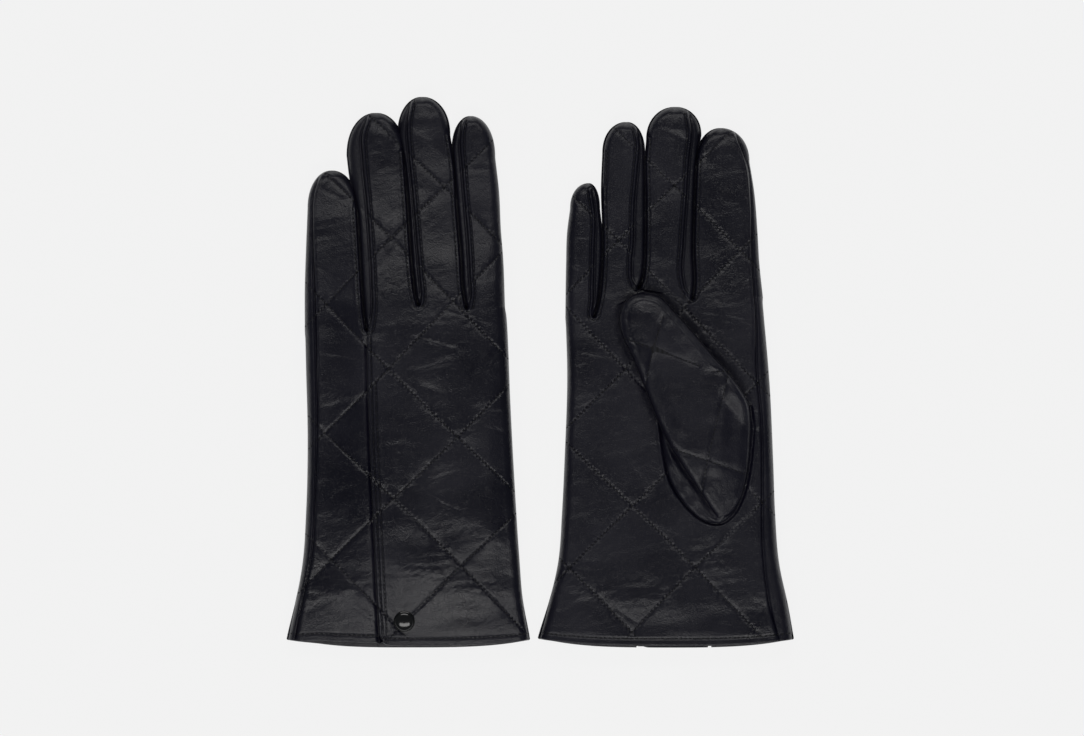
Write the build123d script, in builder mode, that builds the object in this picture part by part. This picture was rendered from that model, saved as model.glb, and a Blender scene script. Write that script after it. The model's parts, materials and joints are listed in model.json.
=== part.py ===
from build123d import *

import os
from dataclasses import dataclass
from math import asin, atan, cos, radians, degrees, sin, tan

os.makedirs("parts", exist_ok=True)

# A pair of leather gloves lying side by side. The left-hand glove lies back up with its thumb
# folded under the palm. The right-hand glove lies palm up with its thumb folded over the palm.
# Each glove is drawn in a frame of its own: x from the middle line towards the index side,
# y from the hem towards the fingertips, z from the palm face towards the back face.

# Skins
leather = 1.0
lining = 0.8
seam_gap = 0.3

# Depths from palm face to back face. The fingers are a little flatter than the hand.
hand_depth = 10.4
finger_step = 1.4
finger_depth = hand_depth - finger_step
thumb_depth = 8.0

# Hand. The two cuffs lie a gap apart, whose middle is a little to the left of the pair's.
hem_y = -123.17
pair_gap = 4.2
pair_gap_x = -3.0
hem_turn = 12.0
drape_end = 52.0
wrist_y = 56.0
wrap_width = 4.5
side_seam_x = -18.5
hand_reach = 180.0
open_end = 5.0
drape_start = -20.0

# How far a cutting shape runs past the faces that it cuts
end_margin = 1.0
cut_margin = 0.1
block_reach = 40.0

# Thumb, its way into the hand and the line that it swings about
thumb_outline = [(-23.5, 142), (-15, 161), (3, 156), (37.5, 112), (37.5, 64), (21, 52), (-2, 74), (-2, 92)]
thumb_corner = 6.0
thumb_hole_x = 18.0
thumb_hole_y = 82.0
thumb_hole_width = 22.0
thumb_hole_length = 38.0

# Vent flap: slit corner, hem corner and the hem end of its fold
vent_top = (-16.5, 50.0)
vent_hem = (-13.5, 0.0)
vent_fold = (18.0, 0.0)
vent_blunt = 3.5
underlap_drop = 2.2
underlap_margin = 1.5
underlap_tip = 0.4

# Press fastener
snap_x = -2.1
snap_y = 12.0
cap_radius = 4.75
cap_height = 2.2
cap_rim = 0.7
cap_clearance = 0.2
rivet_radius = 1.2
socket_radius = 3.4
socket_hole = 1.9
socket_height = 1.5
socket_plate = 0.3
stud_radius = 1.3
stud_height = 0.9
flange_radius = 2.8
flange_height = 0.4
post_flange = 0.5

# Finger lengths from the fold at the root to the tip
finger_length = {"pinky": 59.0, "ring": 74.0, "middle": 81.0, "index": 74.5}
fingers = list(finger_length)


@dataclass
class Finger:
    """How one finger lies: where its root is, how wide it lies and how far it leans."""

    root_x: float
    root_y: float
    root_width: float
    tip_width: float
    lean: float


@dataclass
class Glove:
    """How one glove lies."""

    name: str
    facing: int
    cuff_width: float
    wrist_width: float
    palm_height: float
    rise: float
    lie: dict[str, Finger]

    @property
    def middle_x(self):
        """Middle line of the glove across the pair, half a cuff away from the gap."""
        return pair_gap_x - self.facing * (pair_gap + self.cuff_width) / 2

    def plane(self):
        """The glove's own frame. A glove that lies palm up is turned over about its length."""
        base_z = 0.0 if self.facing > 0 else hand_depth
        return Plane(
            origin=(self.middle_x, hem_y, base_z),
            x_dir=(self.facing, 0, 0),
            z_dir=(0, 0, self.facing),
        )

    def slope(self):
        """How far the cuff tips between the hem and the end of the drape, in degrees."""
        return degrees(atan(self.rise / drape_end))


thumb_lift = thumb_depth + seam_gap
cap_lift = (cap_height + cap_clearance) * drape_end / (drape_end - snap_y)

left_lie = {
    "pinky": Finger(-34.9, 154.0, 23.2, 19.4, 0.0),
    "ring": Finger(-11.2, 165.0, 21.8, 20.8, -3.2),
    "middle": Finger(11.3, 165.0, 21.0, 20.6, -3.7),
    "index": Finger(32.9, 164.0, 20.2, 19.6, -4.2),
}
right_lie = {
    "pinky": Finger(-38.9, 149.0, 14.4, 13.8, 3.0),
    "ring": Finger(-21.1, 161.5, 18.4, 17.4, 2.0),
    "middle": Finger(0.7, 161.5, 22.6, 20.0, 1.9),
    "index": Finger(27.6, 157.5, 28.4, 22.4, -2.7),
}
gloves = [
    Glove("left", 1, 109.0, 93.0, thumb_lift, thumb_lift, left_lie),
    Glove("right", -1, 115.0, 94.5, 0.0, cap_lift, right_lie),
]


def turned(glove, points):
    """Outline points in the glove's frame, put on its sketch plane."""
    return [(glove.facing * x, y) for x, y in points]


def layer_line(glove, depth):
    """Side view of the surface that lies at one depth from the palm face."""
    half_turn = tan(radians(glove.slope()) / 2)
    bend = (drape_end - depth * half_turn, glove.palm_height + depth)
    start_z = bend[1] - (bend[0] - drape_start) * glove.rise / drape_end
    return [(drape_start, start_z), bend, (hand_reach, bend[1])]


def draped(glove, outline, low, high, grow=0.0):
    """Solid that fills an outline between two depths and follows the glove's drape."""
    base = glove.plane()
    side = Plane(origin=base.origin, x_dir=base.y_dir, z_dir=base.x_dir)
    profile = layer_line(glove, low) + layer_line(glove, high)[::-1]
    with BuildPart() as layer:
        with BuildSketch(base):
            with BuildLine():
                Polyline(*turned(glove, outline), close=True)
            make_face()
            if grow:
                offset(amount=grow, kind=Kind.INTERSECTION, mode=Mode.REPLACE)
        extrude(amount=4 * hand_depth, both=True)
        with BuildSketch(side):
            with BuildLine():
                Polyline(*profile, close=True)
            make_face()
        extrude(amount=glove.cuff_width, both=True, mode=Mode.INTERSECT)
    return layer.part


def root_corners(glove, finger, overrun):
    """Pinky-side and index-side corners of a finger's root, in the glove's frame."""
    lie = glove.lie[finger]
    lean = radians(lie.lean)
    middle = (lie.root_x + overrun * sin(lean), lie.root_y + overrun * cos(lean))
    half_x = lie.root_width / 2 * cos(lean)
    half_y = lie.root_width / 2 * sin(lean)
    return (middle[0] - half_x, middle[1] + half_y), (middle[0] + half_x, middle[1] - half_y)


def hand_outline(glove, inset, overrun=0.0):
    """Outline of the hand from the hem to the finger roots. The overrun runs on past both open ends."""
    front = []
    for finger in fingers:
        front += root_corners(glove, finger, overrun - seam_gap)
    pinky_side = root_corners(glove, "pinky", -seam_gap)[0]
    index_side = root_corners(glove, "index", -seam_gap)[1]
    front[0] = (pinky_side[0] + inset, front[0][1])
    front[-1] = (index_side[0] - inset, front[-1][1])
    hem = glove.cuff_width / 2 - inset
    wrist = glove.wrist_width / 2 - inset
    if overrun:
        pinky_end = [(pinky_side[0] + inset, pinky_side[1])]
        index_end = [(index_side[0] - inset, index_side[1])]
        front = pinky_end + front + index_end
        hem_line = [(hem, 0), (hem, -overrun), (-hem, -overrun), (-hem, 0)]
    else:
        hem_line = [(hem, 0), (-hem, 0)]
    return [(-wrist, wrist_y), *front, (wrist, wrist_y), *hem_line]


def hand_shell(glove, outer, inner):
    """Shell between two skins of the hand, open at the hem and at the finger roots."""
    with BuildPart() as shell:
        add(draped(glove, hand_outline(glove, outer), outer, hand_depth - outer))
        add(
            draped(glove, hand_outline(glove, inner, open_end), inner, hand_depth - inner),
            mode=Mode.SUBTRACT,
        )
    return shell.part


def band(glove, x_from, x_to, y_from, y_to):
    """Upright block of the glove's frame, used to share a shell out between its pieces."""
    points = [(x_from, y_from), (x_to, y_from), (x_to, y_to), (x_from, y_to)]
    with BuildPart() as block:
        with BuildSketch(glove.plane()):
            with BuildLine():
                Polyline(*turned(glove, points), close=True)
            make_face()
        extrude(amount=block_reach, both=True)
    return block.part


def thumb_hole(glove):
    """Upright oval plug that opens the palm into the thumb."""
    with BuildPart() as plug:
        with BuildSketch(glove.plane().offset(glove.palm_height - seam_gap / 2)):
            with Locations((glove.facing * thumb_hole_x, thumb_hole_y)):
                Ellipse(thumb_hole_width / 2, thumb_hole_length / 2)
        extrude(amount=seam_gap / 2 + leather + lining, both=True)
    return plug.part


def snap_plane(glove, depth):
    """Plane of the press fastener at one depth, square to the tipped cuff."""
    base = glove.plane()
    slope = radians(glove.slope())
    normal = base.z_dir * cos(slope) - base.y_dir * sin(slope)
    palm_z = glove.palm_height - (drape_end - snap_y) * tan(slope)
    foot = base.origin + base.x_dir * glove.facing * snap_x + base.y_dir * snap_y + base.z_dir * palm_z
    return Plane(origin=foot + normal * depth, x_dir=base.x_dir, z_dir=normal)


def finger_plane(glove, finger):
    """Frame of one finger: origin on the palm face at the root, y towards the tip."""
    base = glove.plane()
    lie = glove.lie[finger]
    lean = radians(lie.lean)
    droop = asin(glove.palm_height / finger_length[finger])
    root = base.origin + base.x_dir * glove.facing * lie.root_x + base.y_dir * lie.root_y
    along = base.x_dir * glove.facing * sin(lean) + base.y_dir * cos(lean)
    across = base.x_dir * cos(lean) - base.y_dir * glove.facing * sin(lean)
    normal = base.z_dir * cos(droop) + along * sin(droop)
    return Plane(origin=root + base.z_dir * glove.palm_height, x_dir=across, z_dir=normal)


def finger_layer(glove, finger, inset, low, high, open_root=False):
    """Finger-shaped solid between two depths. An open root runs on past the root."""
    lie = glove.lie[finger]
    root = lie.root_width / 2 - inset
    tip = lie.tip_width / 2 - inset
    shoulder = finger_length[finger] - lie.tip_width / 2
    foot = [(-root, -open_end), (root, -open_end)] if open_root else []
    with BuildPart() as layer:
        with BuildSketch(finger_plane(glove, finger).offset(low)):
            with BuildLine():
                Polyline((-tip, shoulder), (-root, 0), *foot, (root, 0), (tip, shoulder))
                ThreePointArc((tip, shoulder), (0, finger_length[finger] - inset), (-tip, shoulder))
            make_face()
        extrude(amount=high - low)
    return layer.part


def finger_wall(glove, finger, side):
    """Side wall of a finger between its two leather faces. The side is -1 for pinky, 1 for index."""
    length = finger_length[finger]
    plane = finger_plane(glove, finger)
    start = seam_gap if side * glove.facing > 0 else -length
    with BuildPart() as wall:
        add(finger_layer(glove, finger, 0.0, leather, finger_depth - leather))
        add(
            finger_layer(glove, finger, leather, leather, finger_depth - leather, True),
            mode=Mode.SUBTRACT,
        )
        with BuildSketch(plane):
            with Locations((start, 0)):
                Rectangle(length - seam_gap, length + end_margin, align=(Align.MIN, Align.MIN))
        extrude(amount=finger_depth, mode=Mode.INTERSECT)
    return wall.part


def thumb_layer(glove, inset, low, high):
    """Thumb-shaped solid between two depths measured from the thumb's face on the palm."""
    top = glove.plane().offset(glove.palm_height - seam_gap)
    with BuildPart() as layer:
        with BuildSketch(top.offset(-high)):
            with BuildLine():
                FilletPolyline(*turned(glove, thumb_outline), radius=thumb_corner, close=True)
            make_face()
            if inset:
                offset(amount=-inset, mode=Mode.REPLACE)
        extrude(amount=high - low)
    return layer.part


def finish(piece, glove, name):
    """Names a finished piece and writes it out."""
    piece.part.label = f"{glove.name}_{name}"
    export_step(piece.part, f"parts/{piece.part.label}.step")


blunt_share = vent_blunt / vent_top[1]
flap_outline = [
    (vent_top[0] + (vent_hem[0] - vent_top[0]) * blunt_share, vent_top[1] - vent_blunt),
    vent_hem,
    vent_fold,
    (vent_top[0] + (vent_fold[0] - vent_top[0]) * blunt_share, vent_top[1] - vent_blunt),
]
slit_edge = seam_gap + leather
underlap_outline = [
    (vent_top[0] - slit_edge, vent_top[1]),
    (vent_hem[0] - slit_edge, vent_hem[1]),
    (vent_fold[0] - underlap_margin, vent_fold[1]),
    (vent_top[0] - slit_edge + underlap_tip, vent_top[1]),
]
riser_outline = [
    (vent_top[0] - slit_edge, vent_top[1]),
    (vent_hem[0] - slit_edge, vent_hem[1]),
    (vent_hem[0] - seam_gap, vent_hem[1]),
    (vent_top[0] - seam_gap, vent_top[1]),
]
back_skin = hand_depth - leather
underlap_top = back_skin - underlap_drop
underlap_foot = underlap_top - leather

for glove in gloves:
    # Leather of the hand. The palm wraps round the pinky side, the back round the index side.
    skin = hand_shell(glove, 0.0, leather)
    half_cuff = glove.cuff_width / 2
    far = glove.cuff_width
    whole_hand = [(-far, -open_end), (far, -open_end), (far, hand_reach), (-far, hand_reach)]
    flap_notch = draped(glove, flap_outline, back_skin - cut_margin, hand_depth + cut_margin, seam_gap)
    opening = thumb_hole(glove)
    palm_wrap = draped(
        glove,
        [
            (-far, -end_margin),
            (-half_cuff + wrap_width, -end_margin),
            (-glove.wrist_width / 2 + wrap_width, wrist_y),
            (-glove.wrist_width / 2 + wrap_width, hand_reach),
            (-far, hand_reach),
        ],
        leather,
        hand_depth,
    )
    with BuildPart() as palm_panel:
        add(skin)
        add(draped(glove, whole_hand, leather, hand_depth), mode=Mode.SUBTRACT)
        add(palm_wrap.intersect(skin))
        add(opening, mode=Mode.SUBTRACT)
    finish(palm_panel, glove, "palm_panel")

    side_region = [
        (-far, -end_margin),
        vent_hem,
        vent_top,
        (side_seam_x, vent_top[1]),
        (side_seam_x, hand_reach),
        (-far, hand_reach),
    ]
    with BuildPart() as side_panel:
        add(draped(glove, side_region, back_skin, hand_depth).intersect(skin))
        add(palm_wrap, mode=Mode.SUBTRACT)
        add(flap_notch, mode=Mode.SUBTRACT)
        add(draped(glove, riser_outline, underlap_foot, hand_depth))
        add(draped(glove, underlap_outline, underlap_foot, underlap_top))
        with BuildSketch(snap_plane(glove, underlap_foot)):
            Circle(rivet_radius)
        extrude(amount=leather, mode=Mode.SUBTRACT)
    finish(side_panel, glove, "side_panel")

    with BuildPart() as back_panel:
        add(skin)
        add(palm_wrap, mode=Mode.SUBTRACT)
        add(draped(glove, whole_hand, 0.0, leather), mode=Mode.SUBTRACT)
        add(draped(glove, side_region, back_skin, hand_depth), mode=Mode.SUBTRACT)
        add(flap_notch, mode=Mode.SUBTRACT)
    finish(back_panel, glove, "back_panel")

    # Turned hem at the mouth, and the lining that carries on from it
    inner_skin = hand_shell(glove, leather, leather + lining)
    lining_low = back_skin - lining - cut_margin
    vent_opening = draped(glove, flap_outline, lining_low, back_skin + cut_margin, underlap_margin)
    with BuildPart() as cuff_hem:
        add(inner_skin)
        add(band(glove, -far, far, -end_margin, hem_turn), mode=Mode.INTERSECT)
        add(vent_opening, mode=Mode.SUBTRACT)
        add(side_panel.part, mode=Mode.SUBTRACT)
    finish(cuff_hem, glove, "cuff_hem")

    with BuildPart() as hand_lining:
        add(inner_skin)
        add(band(glove, -far, far, hem_turn, hand_reach), mode=Mode.INTERSECT)
        add(vent_opening, mode=Mode.SUBTRACT)
        add(side_panel.part, mode=Mode.SUBTRACT)
        add(opening, mode=Mode.SUBTRACT)
    finish(hand_lining, glove, "hand_lining")

    # Vent flap and its press fastener. The cap's crown is its highest face, or its lowest turned over.
    cap_face = -1 if glove.facing > 0 else 0
    with BuildPart() as cuff_flap:
        add(draped(glove, flap_outline, back_skin, hand_depth))
        with BuildSketch(snap_plane(glove, back_skin)):
            Circle(rivet_radius)
        extrude(amount=leather, mode=Mode.SUBTRACT)
    finish(cuff_flap, glove, "cuff_flap")

    with BuildPart() as snap_cap:
        with BuildSketch(snap_plane(glove, hand_depth)):
            Circle(cap_radius)
        extrude(amount=cap_height)
        fillet(snap_cap.faces().sort_by(Axis.Z)[cap_face].edges(), radius=cap_height - cap_rim)
        with BuildSketch(snap_plane(glove, back_skin - socket_plate)):
            Circle(rivet_radius)
        extrude(amount=leather + socket_plate)
    finish(snap_cap, glove, "snap_cap")

    with BuildPart() as snap_socket:
        with BuildSketch(snap_plane(glove, back_skin - socket_plate)):
            Circle(socket_radius)
            Circle(rivet_radius, mode=Mode.SUBTRACT)
        extrude(amount=socket_plate)
        with BuildSketch(snap_plane(glove, back_skin - socket_height)):
            Circle(socket_radius)
            Circle(socket_hole, mode=Mode.SUBTRACT)
        extrude(amount=socket_height - socket_plate)
    finish(snap_socket, glove, "snap_socket")

    with BuildPart() as snap_stud:
        with BuildSketch(snap_plane(glove, underlap_top)):
            Circle(flange_radius)
        extrude(amount=flange_height)
        with BuildSketch(snap_plane(glove, underlap_top + flange_height)):
            Circle(stud_radius)
        extrude(amount=stud_height)
    finish(snap_stud, glove, "snap_stud")

    with BuildPart() as snap_post:
        with BuildSketch(snap_plane(glove, underlap_foot - post_flange)):
            Circle(flange_radius)
        extrude(amount=post_flange)
        with BuildSketch(snap_plane(glove, underlap_foot)):
            Circle(rivet_radius)
        extrude(amount=leather)
    finish(snap_post, glove, "snap_post")

    # Thumb: leather face, leather against the palm, gusset between them, and lining
    with BuildPart() as thumb_front:
        add(thumb_layer(glove, 0.0, thumb_depth - leather, thumb_depth))
    finish(thumb_front, glove, "thumb_front")

    with BuildPart() as thumb_back:
        add(thumb_layer(glove, 0.0, 0.0, leather))
        add(opening, mode=Mode.SUBTRACT)
    finish(thumb_back, glove, "thumb_back")

    with BuildPart() as thumb_gusset:
        add(thumb_layer(glove, 0.0, leather, thumb_depth - leather))
        add(thumb_layer(glove, leather, leather, thumb_depth - leather), mode=Mode.SUBTRACT)
    finish(thumb_gusset, glove, "thumb_gusset")

    with BuildPart() as thumb_lining:
        add(thumb_layer(glove, leather, leather, thumb_depth - leather))
        add(
            thumb_layer(glove, leather + lining, leather + lining, thumb_depth - leather - lining),
            mode=Mode.SUBTRACT,
        )
        add(opening, mode=Mode.SUBTRACT)
    finish(thumb_lining, glove, "thumb_lining")

    # Fingers
    for finger in fingers:
        inner = finger_depth - leather
        inside = leather + lining
        pinky_wall = finger_wall(glove, finger, -1)
        index_wall = finger_wall(glove, finger, 1)

        with BuildPart() as finger_back:
            add(finger_layer(glove, finger, 0.0, inner, finger_depth))
            if finger == "index":
                add(index_wall)
        finish(finger_back, glove, f"{finger}_back")

        with BuildPart() as finger_palm:
            add(finger_layer(glove, finger, 0.0, 0.0, leather))
            if finger == "pinky":
                add(pinky_wall)
        finish(finger_palm, glove, f"{finger}_palm")

        with BuildPart() as fourchette:
            if finger != "pinky":
                add(pinky_wall)
            if finger != "index":
                add(index_wall)
        finish(fourchette, glove, f"{finger}_fourchette")

        with BuildPart() as finger_lining:
            add(finger_layer(glove, finger, leather, leather, inner))
            add(
                finger_layer(glove, finger, inside, inside, finger_depth - inside, True),
                mode=Mode.SUBTRACT,
            )
        finish(finger_lining, glove, f"{finger}_lining")
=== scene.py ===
"""A pair of quilted leather gloves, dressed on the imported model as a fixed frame.

The left-hand glove lies back up with its thumb under the palm, the right-hand glove lies palm up with
its thumb over the palm. Sizes in the classes are millimetres in each glove's own frame: x from its
middle line, y from the hem towards the fingertips. Meshes are written in metres in the row frame.
"""

import json
import logging
import math
from collections.abc import Sequence
from dataclasses import dataclass, field
from enum import Enum

import bpy
import numpy as np
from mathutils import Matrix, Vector


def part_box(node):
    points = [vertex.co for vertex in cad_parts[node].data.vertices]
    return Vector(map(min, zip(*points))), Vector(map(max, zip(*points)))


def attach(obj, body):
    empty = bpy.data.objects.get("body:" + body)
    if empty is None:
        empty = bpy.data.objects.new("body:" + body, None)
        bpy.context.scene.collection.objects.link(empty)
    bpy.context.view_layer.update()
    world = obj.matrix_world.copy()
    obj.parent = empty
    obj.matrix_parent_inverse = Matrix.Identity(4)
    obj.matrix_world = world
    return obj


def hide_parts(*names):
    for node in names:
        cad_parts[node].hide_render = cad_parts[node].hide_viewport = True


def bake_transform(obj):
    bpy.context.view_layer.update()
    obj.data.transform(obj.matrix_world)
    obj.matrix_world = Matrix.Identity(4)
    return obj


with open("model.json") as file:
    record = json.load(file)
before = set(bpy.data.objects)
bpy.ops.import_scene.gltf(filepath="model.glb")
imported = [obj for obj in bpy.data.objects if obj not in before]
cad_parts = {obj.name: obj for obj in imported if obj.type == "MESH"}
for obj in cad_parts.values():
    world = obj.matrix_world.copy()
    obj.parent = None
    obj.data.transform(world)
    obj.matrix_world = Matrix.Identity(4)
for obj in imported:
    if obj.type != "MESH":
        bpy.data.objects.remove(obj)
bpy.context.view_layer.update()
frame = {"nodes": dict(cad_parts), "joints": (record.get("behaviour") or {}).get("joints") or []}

log = logging.getLogger("gloves")
Points = list[tuple[float, float]]
MM = 0.001
FALLING_SEED = 31  # wander of the quilting lines that fall to the right
RISING_SEED = 57  # wander of the quilting lines that rise to the right
THREAD_RISE = 0.18  # middle of a thread above the leather
THREAD_SHIFT = 0.05  # thread beside the middle of its groove
ALWAYS = -99.0  # a y below every hem


class Face(Enum):
    """Which side of a glove looks up."""

    BACK_UP = "back"
    PALM_UP = "palm"


class Layer(Enum):
    """Which skin of a glove a surface belongs to, with its depth below the outer leather in millimetres."""

    LEATHER = 0.0
    TURNED_HEM = 1.3
    KNIT = 2.0


# ---------------------------------------------------------------------------------------------
# Small mathematics
# ---------------------------------------------------------------------------------------------


def smooth(t: np.ndarray) -> np.ndarray:
    """Smooth step from 0 to 1.

    Args:
        t: position, clipped to 0..1.

    Returns:
        The eased position.
    """
    t = np.clip(t, 0.0, 1.0)
    return t * t * (3.0 - 2.0 * t)


def dome(distance: np.ndarray, radius: float | np.ndarray) -> np.ndarray:
    """Quarter-round rise of a folded edge.

    Args:
        distance: distance in from the edge.
        radius: how far in the rise ends.

    Returns:
        0 at the edge and 1 past the radius.
    """
    t = np.clip(distance / radius, 0.0, 1.0)
    return np.sqrt(np.maximum(1.0 - (1.0 - t) ** 2, 0.0))


def bump(distance: np.ndarray, width: float) -> np.ndarray:
    """Bell-shaped ridge.

    Args:
        distance: distance from the ridge's middle.
        width: distance at which it has fallen to about a third.

    Returns:
        1 on the middle, falling to 0.
    """
    return np.exp(-((distance / width) ** 2))


def ripple(x: np.ndarray, y: np.ndarray, wavelength: float, seed: int, stretch: float = 1.0) -> np.ndarray:
    """Soft random unevenness made of crossing waves.

    Args:
        x: positions across.
        y: positions along.
        wavelength: typical distance between crests.
        seed: fixed seed of the waves.
        stretch: how much longer the crests are along x than along y.

    Returns:
        Values of about -1 to 1.
    """
    rng = np.random.default_rng(seed)
    total = np.zeros_like(x)
    for _ in range(9):
        angle = rng.uniform(0, 2 * math.pi)
        k = 2 * math.pi / (wavelength * rng.uniform(0.7, 1.5))
        phase = rng.uniform(0, 2 * math.pi)
        total += np.cos(k * (x * math.cos(angle) / stretch + y * math.sin(angle)) + phase)
    return total / 4.5


def distance_to(x: np.ndarray, y: np.ndarray, line: np.ndarray) -> np.ndarray:
    """Distance from points to a polyline.

    Args:
        x: positions across.
        y: positions along.
        line: corners of the polyline, one row each.

    Returns:
        The shortest distances, in the shape of x.
    """
    px, py = x.ravel(), y.ravel()
    best = np.full(px.shape, 1e9)
    for (ax, ay), (bx, by) in zip(line[:-1], line[1:]):
        dx, dy = bx - ax, by - ay
        t = np.clip(((px - ax) * dx + (py - ay) * dy) / (dx * dx + dy * dy + 1e-12), 0, 1)
        best = np.minimum(best, (px - ax - t * dx) ** 2 + (py - ay - t * dy) ** 2)
    return np.sqrt(best).reshape(x.shape)


class SmoothCurve:
    """A smooth curve x(y) through a few points that climb in y."""

    def __init__(self, points: Points) -> None:
        """Keeps the points and works out their slopes.

        Args:
            points: (x, y) pairs.
        """
        ordered = sorted(points, key=lambda p: p[1])
        self.y = np.array([p[1] for p in ordered], float)
        self.x = np.array([p[0] for p in ordered], float)
        self.slope = np.gradient(self.x, self.y)

    def __call__(self, y: np.ndarray) -> np.ndarray:
        """x at the given y, held straight past both ends.

        Args:
            y: positions along.

        Returns:
            Positions across.
        """
        y = np.asarray(y, float)
        k = np.clip(np.searchsorted(self.y, y) - 1, 0, len(self.y) - 2)
        h = self.y[k + 1] - self.y[k]
        t = np.clip((y - self.y[k]) / h, 0, 1)
        inside = (
            self.x[k] * (2 * t**3 - 3 * t**2 + 1)
            + self.slope[k] * h * (t**3 - 2 * t**2 + t)
            + self.x[k + 1] * (3 * t**2 - 2 * t**3)
            + self.slope[k + 1] * h * (t**3 - t**2)
        )
        below = self.slope[0] * np.minimum(y - self.y[0], 0)
        above = self.slope[-1] * np.maximum(y - self.y[-1], 0)
        return inside + below + above


def smooth_path(points: Points, spacing: float = 1.0) -> np.ndarray:
    """Evenly spaced points on a smooth line through a few plane points.

    Args:
        points: (x, y) pairs in order.
        spacing: distance between the points that come back.

    Returns:
        One row per point.
    """
    p = np.array(points, float)
    chord = np.concatenate([[0], np.cumsum(np.hypot(*np.diff(p, axis=0).T))])
    cx, cy = SmoothCurve(list(zip(p[:, 0], chord))), SmoothCurve(list(zip(p[:, 1], chord)))
    s = np.linspace(0, chord[-1], max(2, int(chord[-1] / spacing) + 1))
    return np.stack([cx(s), cy(s)], axis=1)


# ---------------------------------------------------------------------------------------------
# Pattern: outlines and seams of the two gloves
# ---------------------------------------------------------------------------------------------


@dataclass(frozen=True)
class FingerPattern:
    """Outline of one finger as it lies. Side curves run from the fork to the shoulder below the tip."""

    name: str
    left: Points
    right: Points
    tip: tuple[float, float]
    seam: Points

    def shoulder(self, side: int) -> tuple[float, float]:
        """Last point of the left (0) or right (1) side curve."""
        return (self.left, self.right)[side][-1]

    def edge(self, side: int, y: np.ndarray) -> np.ndarray:
        """x of one edge, rounded over the tip.

        Args:
            side: 0 for left, 1 for right.
            y: positions along the finger.

        Returns:
            x of the edge at each y.
        """
        points = (self.left, self.right)[side]
        end_x, end_y = points[-1]
        y = np.asarray(y, float)
        t = np.clip((y - end_y) / (self.tip[1] - end_y), 0, 1)
        cap = self.tip[0] + (end_x - self.tip[0]) * np.sqrt(1 - t**2.2)
        return np.where(y < end_y, SmoothCurve(points)(np.minimum(y, end_y)), cap)


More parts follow.
